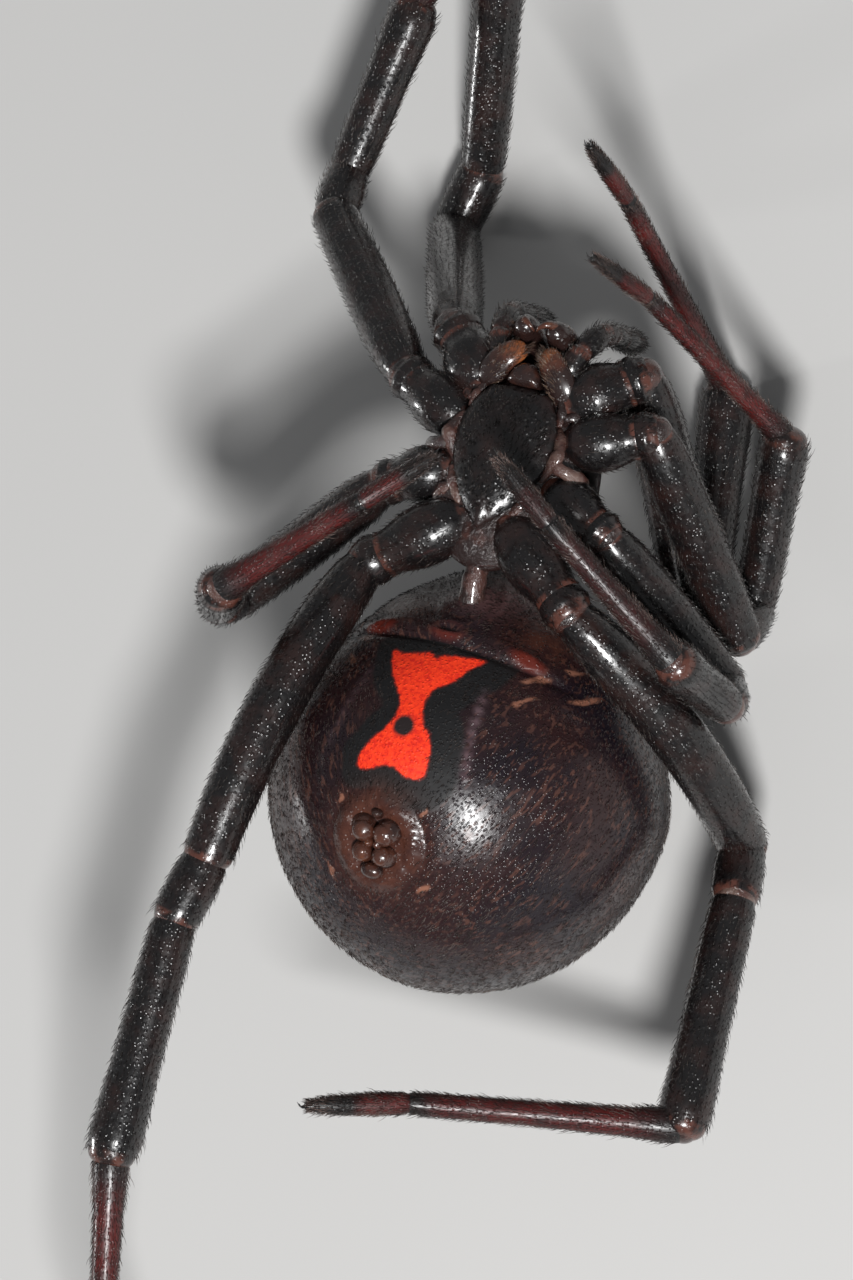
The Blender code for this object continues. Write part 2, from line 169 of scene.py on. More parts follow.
def front_turn():
    """Turn that takes directions of the front body's frame to the body's."""
    return np.array(front_matrix())[:3, :3]


def front_body(points):
    """Body places of points in the front body's frame."""
    matrix = np.array(front_matrix())
    return np.asarray(points) @ matrix[:3, :3].T + matrix[:3, 3]


# Meshes

def closed_grid(grid):
    """Points and faces of rings in rows, closed round each ring and with a point at both ends."""
    rows, columns = grid.shape[:2]
    points = np.concatenate([grid.reshape(-1, 3), [grid[0].mean(axis=0)], [grid[-1].mean(axis=0)]])
    row, column = np.meshgrid(np.arange(rows - 1), np.arange(columns), indexing="ij")
    beside = (column + 1) % columns
    quads = np.stack([
        row * columns + column,
        row * columns + beside,
        (row + 1) * columns + beside,
        (row + 1) * columns + column,
    ], axis=-1).reshape(-1, 4)
    ring = np.arange(columns)
    following = (ring + 1) % columns
    first = np.stack([following, ring, np.full(columns, rows * columns)], axis=-1)
    last_row = (rows - 1) * columns
    last = np.stack([last_row + ring, last_row + following, np.full(columns, rows * columns + 1)], axis=-1)
    return points, [quads, np.concatenate([first, last])]


def facing_out(points, faces):
    """Faces turned so that a closed mesh's normals point outwards."""
    volume = 0.0
    for group in faces:
        for step in range(1, group.shape[1] - 1):
            a, b, c = points[group[:, 0]], points[group[:, step]], points[group[:, step + 1]]
            volume += np.einsum("ij,ij->", a, np.cross(b, c))
    return faces if volume > 0 else [group[:, ::-1] for group in faces]


def joined(parts):
    """One set of points, faces and values from several closed parts."""
    points, faces, values = [], [], {}
    offset = 0
    for part_points, part_faces, part_values in parts:
        points.append(part_points)
        faces += [group + offset for group in facing_out(part_points, part_faces)]
        for key, column in part_values.items():
            values.setdefault(key, []).append(column)
        offset += len(part_points)
    return np.concatenate(points), faces, {key: np.concatenate(columns) for key, columns in values.items()}


def toned(mesh, key, value):
    """A mesh's points and faces, with one value at all its points."""
    points, faces = mesh[:2]
    return points, faces, {key: np.full(len(points), value)}


def new_object(name, points, faces, material, values=None, bake_places=None):
    """Mesh object in metres that rides on the body, with its per-point values as attributes."""
    mesh = bpy.data.meshes.new(name)
    mesh.vertices.add(len(points))
    mesh.vertices.foreach_set("co", (points * MM).astype(np.float32).ravel())
    corners = np.concatenate([group.ravel() for group in faces]).astype(np.int32)
    sizes = np.concatenate([np.full(len(group), group.shape[1]) for group in faces])
    starts = np.concatenate([[0], np.cumsum(sizes)[:-1]]).astype(np.int32)
    mesh.loops.add(len(corners))
    mesh.loops.foreach_set("vertex_index", corners)
    mesh.polygons.add(len(sizes))
    mesh.polygons.foreach_set("loop_start", starts)
    mesh.update(calc_edges=True)
    mesh.shade_smooth()
    for key, column in (values or {}).items():
        kind, field = ("FLOAT", "value") if column.ndim == 1 else ("FLOAT_VECTOR", "vector")
        attribute = mesh.attributes.new(key, kind, "POINT")
        attribute.data.foreach_set(field, column.astype(np.float32).ravel())
    if bake_places is not None:
        layer = mesh.uv_layers.new(name=BAKE_MAP)
        layer.data.foreach_set("uv", bake_places[corners].astype(np.float32).ravel())
    mesh.materials.append(material)
    piece = bpy.data.objects.new(name, mesh)
    bpy.context.scene.collection.objects.link(piece)
    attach(piece, "root")
    return piece


def smooth_table(stations, count=241, width=9):
    """Evenly spaced values through stations of place and value, with rounded corners."""
    places = np.linspace(0.0, 1.0, count)
    table = np.interp(places, *zip(*stations))
    padded = np.pad(table, width // 2, mode="edge")
    return places, np.convolve(padded, np.ones(width) / width, mode="valid")


class Part:
    """Round tapered part of a limb with rounded ends, along a line that may bow."""

    def __init__(self, kind, start, end, outer, stations, bow=(0.0, 0.0, 0.0)):
        self.kind = kind
        self.start = np.asarray(start, dtype=float)
        self.end = np.asarray(end, dtype=float)
        self.bow = np.asarray(bow, dtype=float)
        self.length = np.linalg.norm(self.end - self.start)
        self.outer = np.asarray(outer, dtype=float)
        self.places, self.radii = smooth_table(stations)
        self.caps = CAP_LENGTH * self.radii[[0, -1]] / self.length

    def radius(self, place):
        inside = np.clip(place, 0.0, 1.0)
        before = np.clip(-place / self.caps[0], 0.0, 1.0)
        after = np.clip((place - 1.0) / self.caps[1], 0.0, 1.0)
        rounding = np.sqrt(np.maximum(1 - np.maximum(before, after) ** 2, 0.0))
        return np.interp(inside, self.places, self.radii) * rounding

    def surface(self, place, angle):
        """Points and outward and forward directions at places along the part and angles round it.

        Angle 0 is the side that the joints bend away from.
        """
        place = np.asarray(place, dtype=float)
        span = self.end - self.start
        bowing = np.clip(place, 0.0, 1.0)
        centre = self.start + span * place[..., None] + self.bow * (4 * bowing * (1 - bowing))[..., None]
        forward = unit(span + self.bow * (4 * (1 - 2 * bowing))[..., None])
        back = unit(self.outer - forward * np.sum(forward * self.outer, axis=-1, keepdims=True))
        across = np.cross(forward, back)
        outward = back * np.cos(angle)[..., None] + across * np.sin(angle)[..., None]
        return centre + outward * self.radius(place)[..., None], outward, forward

    def mesh(self, sides=PART_SIDES):
        """Points, faces and values of the part as a closed mesh."""
        rings = max(int(self.length / RING_SPACING), FEWEST_RINGS)
        turn = np.linspace(0.0, math.pi / 2, CAP_RINGS + 1)[1:-1]
        place = np.concatenate([
            -self.caps[0] * np.cos(turn),
            np.linspace(0.0, 1.0, rings),
            1.0 + self.caps[1] * np.sin(turn),
        ])
        angle = np.linspace(0.0, 2 * math.pi, sides, endpoint=False)
        place, angle = np.meshgrid(place, angle, indexing="ij")
        grid, _, _ = self.surface(place, angle)
        points, faces = closed_grid(grid)
        along = np.concatenate([place.ravel(), [place[0, 0], place[-1, 0]]])
        rim = self.length * np.minimum(along, 1.0 - along)
        return points, faces, {"along": along, "rim": rim}


def sweep(places, radii, sides=16, flatten=1.0):
    """Closed tube with rounded look through places, for fangs, claws and other bent parts."""
    places = np.asarray(places, dtype=float)
    tangents = unit(np.gradient(places, axis=0))
    reference = np.array((0.0, 0.0, 1.0)) if abs(tangents[0][2]) < 0.9 else np.array((0.0, 1.0, 0.0))
    angle = np.linspace(0.0, 2 * math.pi, sides, endpoint=False)
    rings = []
    across = unit(np.cross(tangents[0], reference))
    for place, tangent, radius in zip(places, tangents, radii):
        across = unit(across - tangent * np.dot(across, tangent))
        upright = np.cross(across, tangent)
        ring = across * np.cos(angle)[:, None] + upright * np.sin(angle)[:, None] * flatten
        rings.append(place + ring * radius)
    points, faces = closed_grid(np.array(rings))
    return points, faces, {}


def curve_through(points, count):
    """Smooth curve through a few points, by a Catmull-Rom spline."""
    points = np.asarray(points, dtype=float)
    padded = np.concatenate([[2 * points[0] - points[1]], points, [2 * points[-1] - points[-2]]])
    steps = np.linspace(0.0, len(points) - 1.0001, count)
    whole = steps.astype(int)
    t = (steps - whole)[:, None]
    a, b, c, d = (padded[whole + shift] for shift in range(4))
    square = (2 * a - 5 * b + 4 * c - d) * t ** 2
    cube = (3 * b - a - 3 * c + d) * t ** 3
    return 0.5 * (2 * b + (c - a) * t + square + cube)


def ball(centre, half_sizes, rows=20, columns=28, turn=None):
    """Closed ellipsoid with an optional turn matrix."""
    along = np.linspace(0.0, math.pi, rows + 2)[1:-1]
    around = np.linspace(0.0, 2 * math.pi, columns, endpoint=False)
    along, around = np.meshgrid(along, around, indexing="ij")
    wide = np.sin(along)
    grid = np.stack([wide * np.cos(around), wide * np.sin(around), np.cos(along)], axis=-1)
    grid = grid * np.asarray(half_sizes)
    if turn is not None:
        grid = grid @ np.array(turn).T
    points, faces = closed_grid(grid + np.asarray(centre))
    return points, faces, {}


# Hairs

def on_bake_map(across, up):
    """Places on the bake map from two shares, clear of its edges."""
    return np.stack([across, up], axis=-1) * (1 - 2 * BAKE_MARGIN) + BAKE_MARGIN


def hairs(roots, leans, outwards, lengths, thickness, bake_roots):
    """Points, faces and bake places of three-sided hairs that curl back towards the skin."""
    lengths = np.asarray(lengths)[:, None]
    across = unit(np.cross(leans, outwards))
    upright = np.cross(across, leans)
    shape, patch = [], []
    for share, width in HAIR_RINGS:
        centre = roots + leans * lengths * share
        for step in range(3):
            angle = 2 * math.pi * step / 3
            offset = across * math.cos(angle) + upright * math.sin(angle)
            shape.append(centre + offset * thickness * width)
            spread = np.array((math.cos(angle), math.sin(angle))) * BAKE_PATCH * width
            patch.append(bake_roots + spread)
    shape.append(roots + leans * lengths - outwards * lengths * HAIR_DROOP)
    patch.append(bake_roots)
    points = np.stack(shape, axis=1).reshape(-1, 3)
    places = np.stack(patch, axis=1).reshape(-1, 2)
    first = np.arange(len(roots))[:, None] * HAIR_POINTS
    quads = [[0, 1, 4, 3], [1, 2, 5, 4], [2, 0, 3, 5]]
    triangles = [[3, 4, 6], [4, 5, 6], [5, 3, 6], [0, 2, 1]]
    faces = [np.concatenate([first + np.array(face) for face in group]) for group in (quads, triangles)]
    return points, faces, places


def hairs_on_part(part, order, total, random, length_scale=1.0):
    """Hairs in rows along one part, leaning towards its tip."""
    rows, spacing, length = HAIR_ROWS[part.kind]
    in_row = max(int(part.length / spacing), 2)
    row, step = np.meshgrid(np.arange(rows), np.arange(in_row), indexing="ij")
    row, step = row.ravel(), step.ravel()
    count = len(row)
    place = (step + 0.5 + 0.5 * (row % 2) + random.uniform(-HAIR_JITTER[0], HAIR_JITTER[0], count)) / in_row
    place = np.clip(place, 0.02, 0.98)
    angle = 2 * math.pi * (row + random.uniform(-HAIR_JITTER[1], HAIR_JITTER[1], count)) / rows
    roots, outwards, forwards = part.surface(place, angle)
    lift = np.radians(random.uniform(*HAIR_LIFT, count))[:, None]
    sideways = np.cross(outwards, forwards) * random.normal(0.0, HAIR_SWAY, count)[:, None]
    leans = unit(forwards * np.cos(lift) + outwards * np.sin(lift) + sideways)
    lengths = length * length_scale * random.uniform(*HAIR_LENGTHS, count)
    lengths = lengths * np.where(random.uniform(0.0, 1.0, count) < LONG_HAIRS[0], LONG_HAIRS[1], 1.0)
    bake = on_bake_map((angle / (2 * math.pi)) % 1.0, (order + place) / total)
    return hairs(roots - outwards * HAIR_RADIUS, leans, outwards, lengths, HAIR_RADIUS, bake)


def front_hairs(roots, leans, outwards, lengths, thickness, bake):
    """Hairs from places and directions in the front body's frame."""
    turn = front_turn()
    return hairs(front_body(roots), leans @ turn.T, outwards @ turn.T, lengths, thickness, bake)


def coat(name, groups, material):
    """One coat piece from groups of hairs."""
    points, faces, places = [], [], []
    offset = 0
    for group_points, group_faces, group_places in groups:
        points.append(group_points)
        places.append(group_places)
        faces += [group + offset for group in group_faces]
        offset += len(group_points)
    return new_object(name, np.concatenate(points), faces, material, bake_places=np.concatenate(places))


# Materials

class Paint:
    """Principled material with short ways to add nodes to it."""

    def __init__(self, name, colour, roughness, coat_weight=0.0, coat_roughness=0.1, level=0.5):
        self.material = bpy.data.materials.new(name)
        self.material.use_nodes = True
        self.tree = self.material.node_tree
        self.shader = self.tree.nodes["Principled BSDF"]
        self.shader.inputs["Base Color"].default_value = (*colour, 1.0)
        self.shader.inputs["Roughness"].default_value = roughness
        self.shader.inputs["Coat Weight"].default_value = coat_weight
        self.shader.inputs["Coat Roughness"].default_value = coat_roughness
        self.shader.inputs["Specular IOR Level"].default_value = level
        coordinates = self.tree.nodes.new("ShaderNodeTexCoord")
        scale = self.tree.nodes.new("ShaderNodeVectorMath")
        scale.operation = "SCALE"
        scale.inputs["Scale"].default_value = 1 / MM
        self.link(coordinates.outputs["Object"], scale.inputs[0])
        self.place = scale.outputs[0]

    def link(self, source, target):
        self.tree.links.new(source, target)

    def put(self, source, socket):
        self.link(source, self.shader.inputs[socket])

    def noise(self, scale, detail=3.0, roughness=0.55, distortion=0.0):
        """Noise with this many features in a millimetre."""
        node = self.tree.nodes.new("ShaderNodeTexNoise")
        node.inputs["Scale"].default_value = scale
        node.inputs["Detail"].default_value = detail
        node.inputs["Roughness"].default_value = roughness
        node.inputs["Distortion"].default_value = distortion
        self.link(self.place, node.inputs["Vector"])
        return node.outputs["Fac"]

    def flowing_noise(self, name, detail=1.5):
        """Noise over a per-point vector of the mesh, so its spots stretch as that vector does."""
        source = self.tree.nodes.new("ShaderNodeAttribute")
        source.attribute_name = name
        node = self.tree.nodes.new("ShaderNodeTexNoise")
        node.inputs["Scale"].default_value = 1.0
        node.inputs["Detail"].default_value = detail
        self.link(source.outputs["Vector"], node.inputs["Vector"])
        return node.outputs["Fac"]

    def cells(self, scale):
        """Distance from the nearest of scattered points, in cells."""
        node = self.tree.nodes.new("ShaderNodeTexVoronoi")
        node.inputs["Scale"].default_value = scale
        self.link(self.place, node.inputs["Vector"])
        return node.outputs["Distance"]

    def domes(self, scale):
        """Small round bumps at scattered points."""
        return self.ramp(self.cells(scale), 0.05, 0.42, 1.0, 0.0)

    def value(self, name):
        """Per-point value of the mesh."""
        node = self.tree.nodes.new("ShaderNodeAttribute")
        node.attribute_name = name
        return node.outputs["Fac"]

    def math(self, operation, first, second):
        node = self.tree.nodes.new("ShaderNodeMath")
        node.operation = operation
        for index, item in enumerate((first, second)):
            if isinstance(item, (int, float)):
                node.inputs[index].default_value = item
            else:
                self.link(item, node.inputs[index])
        return node.outputs[0]

    def times(self, first, second):
        return self.math("MULTIPLY", first, second)

    def plus(self, first, second):
        return self.math("ADD", first, second)

    def vary_roughness(self, scale, low, high):
        self.put(self.ramp(self.noise(scale), 0.3, 0.7, low, high), "Roughness")

    def ramp(self, source, low, high, to_low=0.0, to_high=1.0):
        """Smooth step of a value between two limits."""
        node = self.tree.nodes.new("ShaderNodeMapRange")
        node.interpolation_type = "SMOOTHSTEP"
        node.inputs["From Min"].default_value = low
        node.inputs["From Max"].default_value = high
        node.inputs["To Min"].default_value = to_low
        node.inputs["To Max"].default_value = to_high
        self.link(source, node.inputs["Value"])
        return node.outputs["Result"]

    def mix(self, factor, first, second):
        """Blend of two colours or colour sockets."""
        node = self.tree.nodes.new("ShaderNodeMix")
        node.data_type = "RGBA"
        self.link(factor, node.inputs["Factor"])
        for socket, item in (("A", first), ("B", second)):
            target = next(entry for entry in node.inputs if entry.name == socket and entry.type == "RGBA")
            if isinstance(item, tuple):
                target.default_value = (*item, 1.0)
            else:
                self.link(item, target)
        return next(entry for entry in node.outputs if entry.type == "RGBA")

    def bump(self, height, depth, strength=1.0):
        """Bump of this depth in millimetres, on top of any bump before it."""
        node = self.tree.nodes.new("ShaderNodeBump")
        node.inputs["Strength"].default_value = strength
        node.inputs["Distance"].default_value = depth * MM
        self.link(height, node.inputs["Height"])
        normal = self.shader.inputs["Normal"]
        if normal.is_linked:
            self.link(normal.links[0].from_socket, node.inputs["Normal"])
        self.link(node.outputs["Normal"], normal)


BLACK = (0.0045, 0.0038, 0.004)
BROWN_BLACK = (0.016, 0.0075, 0.0065)
RIM_BROWN = (0.075, 0.026, 0.018)
DEEP_RED = (0.066, 0.004, 0.0032)
MOUTH_BROWN = (0.06, 0.02, 0.012)
MOUTH_AMBER = (0.28, 0.088, 0.027)
SKIN_BROWN = (0.058, 0.024, 0.019)
SKIN_PINK = (0.125, 0.08, 0.065)
EYE_BLACK = (0.01, 0.008, 0.01)
EYE_BROWN = (0.035, 0.018, 0.012)
ABDOMEN_PURPLE = (0.008, 0.0055, 0.0085)
ABDOMEN_BROWN = (0.019, 0.0075, 0.0078)
STREAK_BROWN = (0.062, 0.027, 0.021)
VELVET_BLACK = (0.0052, 0.005, 0.0056)
LUNG_BROWN = (0.07, 0.024, 0.015)
# painted highlight: pink laid on the rounded front of the abdomen by the waist
FRONT_HIGHLIGHT_PINK = (0.075, 0.038, 0.038)
CREASE_PINK = (0.12, 0.075, 0.085)
DASH_TAN = (0.2, 0.085, 0.055)
SLIT_RED = (0.09, 0.014, 0.009)
HOURGLASS_EDGE = (0.16, 0.01, 0.006)
HOURGLASS_DARK = (0.56, 0.011, 0.004)
HOURGLASS_RED = (0.86, 0.042, 0.008)
DOT_BLACK = (0.014, 0.009, 0.009)
PLASTER = (0.46, 0.455, 0.445)
PLASTER_DARK = (0.45, 0.446, 0.438)
PLASTER_LIGHT = (0.47, 0.464, 0.455)
HAIR_COLOURS = {                 # two tones of each coat, the lighter one partly the hairs' own colour and partly painted glints, and its level of reflection
    "leg_hair": ((0.016, 0.012, 0.011), (0.085, 0.068, 0.06), 0.8),
    # the foot hairs' lighter tone is partly painted glints
    "foot_hair": ((0.022, 0.013, 0.011), (0.16, 0.11, 0.095), 0.8),
    "mouth_hair": ((0.06, 0.035, 0.025), (0.2, 0.13, 0.09), 0.8),
    "abdomen_hair": ((0.024, 0.016, 0.014), (0.11, 0.085, 0.075), 0.55),
}


def cuticle_bump(paint, cell_scale=13.0, depth=0.014):
    """Hair sockets and a fine grain."""
    paint.bump(paint.domes(cell_scale), depth, 0.7)
    paint.bump(paint.noise(38.0, 2.0), depth * 0.3, 0.35)


def leg_material():
    paint = Paint("leg_cuticle", BLACK, 0.3, coat_weight=0.3, coat_roughness=0.14)
    colour = paint.mix(paint.ramp(paint.noise(2.2, 4.0), 0.4, 0.7), BLACK, BROWN_BLACK)
    rim = paint.ramp(paint.value("rim"), 0.01, 0.09, 1.0, 0.0)
    patchy = paint.times(rim, paint.ramp(paint.noise(3.5), 0.4, 0.62))
    paint.put(paint.mix(patchy, colour, RIM_BROWN), "Base Color")
    paint.vary_roughness(9.0, 0.2, 0.36)
    cuticle_bump(paint)
    return paint.material


def foot_material():
    """Black at the ends of each part and dark red between them."""
    paint = Paint("foot_cuticle", DEEP_RED, 0.4, coat_weight=0.06, coat_roughness=0.2)
    red = paint.ramp(paint.value("red"), 0.05, 1.0)
    spotted = paint.times(red, paint.ramp(paint.noise(5.0, 4.0), 0.25, 0.6, 0.3, 1.0))
    paint.put(paint.mix(spotted, BLACK, DEEP_RED), "Base Color")
    paint.vary_roughness(9.0, 0.34, 0.5)
    cuticle_bump(paint, 17.0)
    return paint.material


def shell_material():
    paint = Paint("shell_cuticle", BLACK, 0.28, coat_weight=0.3, coat_roughness=0.14)
    paint.put(paint.mix(paint.ramp(paint.noise(1.8, 5.0), 0.42, 0.72), BLACK, BROWN_BLACK), "Base Color")
    paint.vary_roughness(7.0, 0.24, 0.42)
    cuticle_bump(paint, 9.0, 0.024)
    paint.bump(paint.noise(4.0, 4.0), 0.05, 0.4)
    return paint.material


def mouth_material():
    """Brown towards the tips and black at the roots."""
    paint = Paint("mouth_cuticle", RIM_BROWN, 0.26, coat_weight=0.5, coat_roughness=0.08)
    tone = paint.plus(paint.value("amber"), paint.times(paint.noise(5.0, 5.0), 0.8))
    dark = paint.mix(paint.ramp(tone, 0.4, 0.8), BROWN_BLACK, MOUTH_BROWN)
    paint.put(paint.mix(paint.ramp(tone, 0.75, 1.25), dark, MOUTH_AMBER), "Base Color")
    paint.vary_roughness(8.0, 0.18, 0.34)
    cuticle_bump(paint, 15.0, 0.01)
    return paint.material


def membrane_material():
    """Moist skin with fine creases, brown-black except where it is stretched pale."""
    paint = Paint("joint_membrane", SKIN_BROWN, 0.24, coat_weight=0.7, coat_roughness=0.1)
    stain = paint.ramp(paint.noise(3.0, 5.0), 0.35, 0.65, -0.25, 0.25)
    tone = paint.plus(paint.value("pale"), stain)
    dark = paint.mix(paint.ramp(tone, -0.1, 0.3), BROWN_BLACK, SKIN_BROWN)
    paint.put(paint.mix(paint.ramp(tone, 0.25, 0.85), dark, SKIN_PINK), "Base Color")
    paint.bump(paint.noise(9.0, 5.0, 0.6, 1.5), 0.06, 0.6)
    return paint.material


def eye_material():
    paint = Paint("eye_lens", EYE_BLACK, 0.05, coat_weight=1.0, coat_roughness=0.02)
    paint.put(paint.mix(paint.ramp(paint.noise(12.0), 0.3, 0.7), EYE_BLACK, EYE_BROWN), "Base Color")
    return paint.material


def hair_material(name):
    colour, tip, level = HAIR_COLOURS[name]
    paint = Paint(name, colour, 0.22, level=level)
    # blend towards the lighter tone at random places, which is partly painted glints
    paint.put(paint.mix(paint.ramp(paint.noise(1.5, 2.0), 0.45, 0.75), colour, tip), "Base Color")
    paint.vary_roughness(6.0, 0.16, 0.28)
    return paint.material


def abdomen_ground(paint, velvet):
    """Purple-black skin with brown streaks, and matt black beside the hourglass."""
    colour = paint.mix(paint.ramp(paint.noise(0.5, 4.0), 0.36, 0.66), ABDOMEN_PURPLE, ABDOMEN_BROWN)
    streak = paint.ramp(paint.flowing_noise("flow"), 0.53, 0.66)
    patches = paint.ramp(paint.noise(0.9, 3.0), 0.32, 0.6, 0.25, 1.0)
    colour = paint.mix(paint.times(streak, patches), colour, STREAK_BROWN)
    return paint.mix(velvet, colour, VELVET_BLACK)


def abdomen_patches(paint, colour):
    """Brown lung covers and rim, a painted pink highlight on the front, crease, tan dashes and red slits
    over the ground.
    """
    brown = paint.times(paint.value("brown"), paint.ramp(paint.noise(2.6, 5.0), 0.3, 0.62, 0.35, 1.0))
    colour = paint.mix(brown, colour, LUNG_BROWN)
    # painted highlight: pink over the rounded front of the abdomen
    colour = paint.mix(paint.ramp(paint.value("front_highlight"), 0.1, 0.9), colour, FRONT_HIGHLIGHT_PINK)
    crease = paint.times(paint.value("crease"), paint.ramp(paint.noise(6.0, 3.0), 0.3, 0.55))
    colour = paint.mix(crease, colour, CREASE_PINK)
    worn = paint.plus(paint.value("tan"), paint.times(paint.noise(7.0, 3.0), 0.6))
    colour = paint.mix(paint.ramp(worn, 0.72, 1.2), colour, DASH_TAN)
    return paint.mix(paint.ramp(paint.value("red"), 0.3, 0.9), colour, SLIT_RED)


def hourglass_red(paint):
    """Grainy red with the dark dot."""
    grain = paint.ramp(paint.noise(13.0, 5.0, 0.75), 0.36, 0.58)
    red = paint.mix(grain, HOURGLASS_DARK, HOURGLASS_RED)
    spotted = paint.plus(paint.value("spot"), paint.times(paint.noise(9.0, 3.0), 0.3))
    return paint.mix(paint.ramp(spotted, 0.25, 0.8), red, DOT_BLACK)


def abdomen_material():
    """Skin with the marks of the belly, glossy but for the matt border and the hourglass."""
    paint = Paint("abdomen_cuticle", BLACK, 0.28, coat_weight=0.08, coat_roughness=0.2, level=0.33)
    nap = paint.times(paint.noise(2.4, 4.0), 0.7)
    velvet = paint.ramp(paint.plus(paint.value("velvet"), nap), 0.66, 1.06)
    colour = abdomen_patches(paint, abdomen_ground(paint, velvet))
    frayed = paint.plus(paint.value("glass"), paint.times(paint.noise(8.0, 4.0, 0.65), 0.1))
    edge = paint.ramp(frayed, 0.0, 0.06)
    colour = paint.mix(edge, colour, HOURGLASS_EDGE)
    paint.put(paint.mix(paint.ramp(frayed, 0.035, 0.075), colour, hourglass_red(paint)), "Base Color")
    gloss = paint.ramp(paint.noise(5.0, 4.0), 0.3, 0.7, 0.22, 0.33)
    matt = paint.math("MAXIMUM", velvet, edge)
    paint.put(paint.plus(gloss, paint.times(matt, 0.34)), "Roughness")
    paint.bump(paint.domes(16.0), 0.012, 0.75)
    paint.bump(paint.noise(6.0, 5.0, 0.6), 0.02, 0.3)
    return paint.material


def floor_material():
    paint = Paint("floor_plaster", PLASTER, 0.65)
    tone = paint.ramp(paint.noise(0.03, 3.0), 0.3, 0.7)
    paint.put(paint.mix(tone, PLASTER_DARK, PLASTER_LIGHT), "Base Color")
    return paint.material


# Places read from the solids

FACING_DISTANCE = 0.07
TIP_REACH = 0.12                 # of a foot's outermost points, whose middle is its tip
RING_REACH = 0.35


def node_mesh(name):
    """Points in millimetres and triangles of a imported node."""
    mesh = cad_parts[name].data
    points = np.empty(len(mesh.vertices) * 3)
    mesh.vertices.foreach_get("co", points)
    mesh.calc_loop_triangles()
    triangles = np.empty(len(mesh.loop_triangles) * 3, dtype=np.int32)
    mesh.loop_triangles.foreach_get("vertices", triangles)
    return points.reshape(-1, 3) / MM, triangles.reshape(-1, 3)


def facing_centre(name, other):
    """Centre of the flat of one node that faces another."""
    points, triangles = node_mesh(name)
    other_points, other_triangles = node_mesh(other)
    tree = BVHTree.FromPolygons(other_points.tolist(), other_triangles.tolist())
    total, weight = np.zeros(3), 0.0
    for triangle in points[triangles]:
        centre = triangle.mean(axis=0)
        distance = tree.find_nearest(Vector(centre))[3]
        if distance < FACING_DISTANCE:
            area = np.linalg.norm(np.cross(triangle[1] - triangle[0], triangle[2] - triangle[0]))
            total += centre * area
            weight += area
    return total / weight


def joint_between(first, second):
    return (facing_centre(first, second) + facing_centre(second, first)) / 2


def middle_at(name, start, end, share):
    """Middle of a node's ring of points nearest to a share of the way from start to end."""
    points, _ = node_mesh(name)
    along = unit(end - start)
    places = (points - start) @ along - share * np.linalg.norm(end - start)
    nearest = places[np.argmin(np.abs(places))]
    ring = points[np.abs(places - nearest) < RING_REACH]
    return (ring.min(axis=0) + ring.max(axis=0)) / 2


def leg_places(number, side_name):
    """Joints of a leg from the coxa's root to the tip, and the bow of its femur."""
    leg = f"leg_{number}_{side_name}"
    root = np.array(COXA_ROOTS[number]) * (SIDES[side_name], 1.0, 1.0)
    joints = [front_body(root)]
    chain = ("coxa", "femur", "patella", "tibia", "foot")
    for first, second in zip(chain, chain[1:]):
        joints.append(joint_between(f"{leg}_{first}", f"{leg}_{second}"))
    points, _ = node_mesh(f"{leg}_foot")
    away = np.linalg.norm(points - joints[-1], axis=1)
    tip = points[away > away.max() - TIP_REACH].mean(axis=0)
    ankle = middle_at(f"{leg}_foot", joints[-1], tip, METATARSUS_SHARES[number])
    middle = middle_at(f"{leg}_femur", joints[1], joints[2], 0.5)
    bow = middle - (joints[1] + joints[2]) / 2
    return joints + [ankle, tip], bow


# Legs

FOOT_KINDS = ("metatarsus", "tarsus")
RED_STRETCHES = {                # start, rise, end and fall of the red along each part of a foot
    "metatarsus": (0.0, 0.25, 1.0, 0.12),
    "tarsus": (-0.02, 0.1, 0.62, 0.14),
}
CLAW_PATH = ((0.0, 0.05, 0.0), (0.09, 0.09, 0.02), (0.15, 0.12, -0.05))
CLAW_LEAN = 0.5
CLAW_RADII = np.linspace(0.028, 0.004, 9)
LEG_MEMBRANES = (                # joint, radius and paleness
    (1, 0.36, 0.1), (2, 0.362, 0.35), (3, 0.365, 0.4), (4, 0.3, 0.25), (5, 0.155, 0.3),
)
ANKLE_JOINTS = 4                 # the first of the joints whose membrane is as thick as the foot


def leg_parts(number, side_name):
    """Parts of one leg, each with the side that its joints bend away from."""
    joints, bow = leg_places(number, side_name)
    directions = [unit(end - start) for start, end in zip(joints, joints[1:])]
    turns = [before - after for before, after in zip(directions, directions[1:])]
    bend = np.sum(turns[1:4], axis=0)
    waist = joints[0] + (joints[1] - joints[0]) * COXA_SHARE
    spans = {
        "coxa": (joints[0] - directions[0] * COXA_INSET, waist),
        "trochanter": (waist - directions[0] * TROCHANTER_INSET, joints[1]),
        "femur": (joints[1], joints[2]),
        "patella": (joints[2], joints[3]),
        "tibia": (joints[3], joints[4]),
        "metatarsus": (joints[4], joints[5]),
        "tarsus": (joints[5], joints[6]),
    }
    parts = []
    for kind, (start, end) in spans.items():
        scale = (FOOT_THICKNESS if kind in FOOT_KINDS else LEG_THICKNESS)[number]
        stations = [(place, radius * scale) for place, radius in PROFILES[kind]]
        bowing = bow if kind == "femur" else np.zeros(3)
        parts.append(Part(kind, start, end, bend, stations, bowing))
    return parts, joints


def red_of(part, along):
    """Share of red along a foot's part: black at the ends, and at the tarsus's outer half."""
    start, rise, end, fall = RED_STRETCHES[part.kind]
    return np.clip(np.minimum((along - start) / rise, (end - along) / fall), 0.0, 1.0)


def claws(part):
    """Pair of small bent claws at the tip of a tarsus."""
    forward = unit(part.end - part.start)
    back = unit(part.outer - forward * np.dot(forward, part.outer))
    made = []
    for side in (-1.0, 1.0):
        outwards = np.cross(forward, back) * CLAW_LEAN * side
        bends = np.array(CLAW_PATH) @ np.stack([forward, outwards, back])
        made.append(sweep(curve_through(part.end + bends, len(CLAW_RADII)), CLAW_RADII, sides=8))
    return made


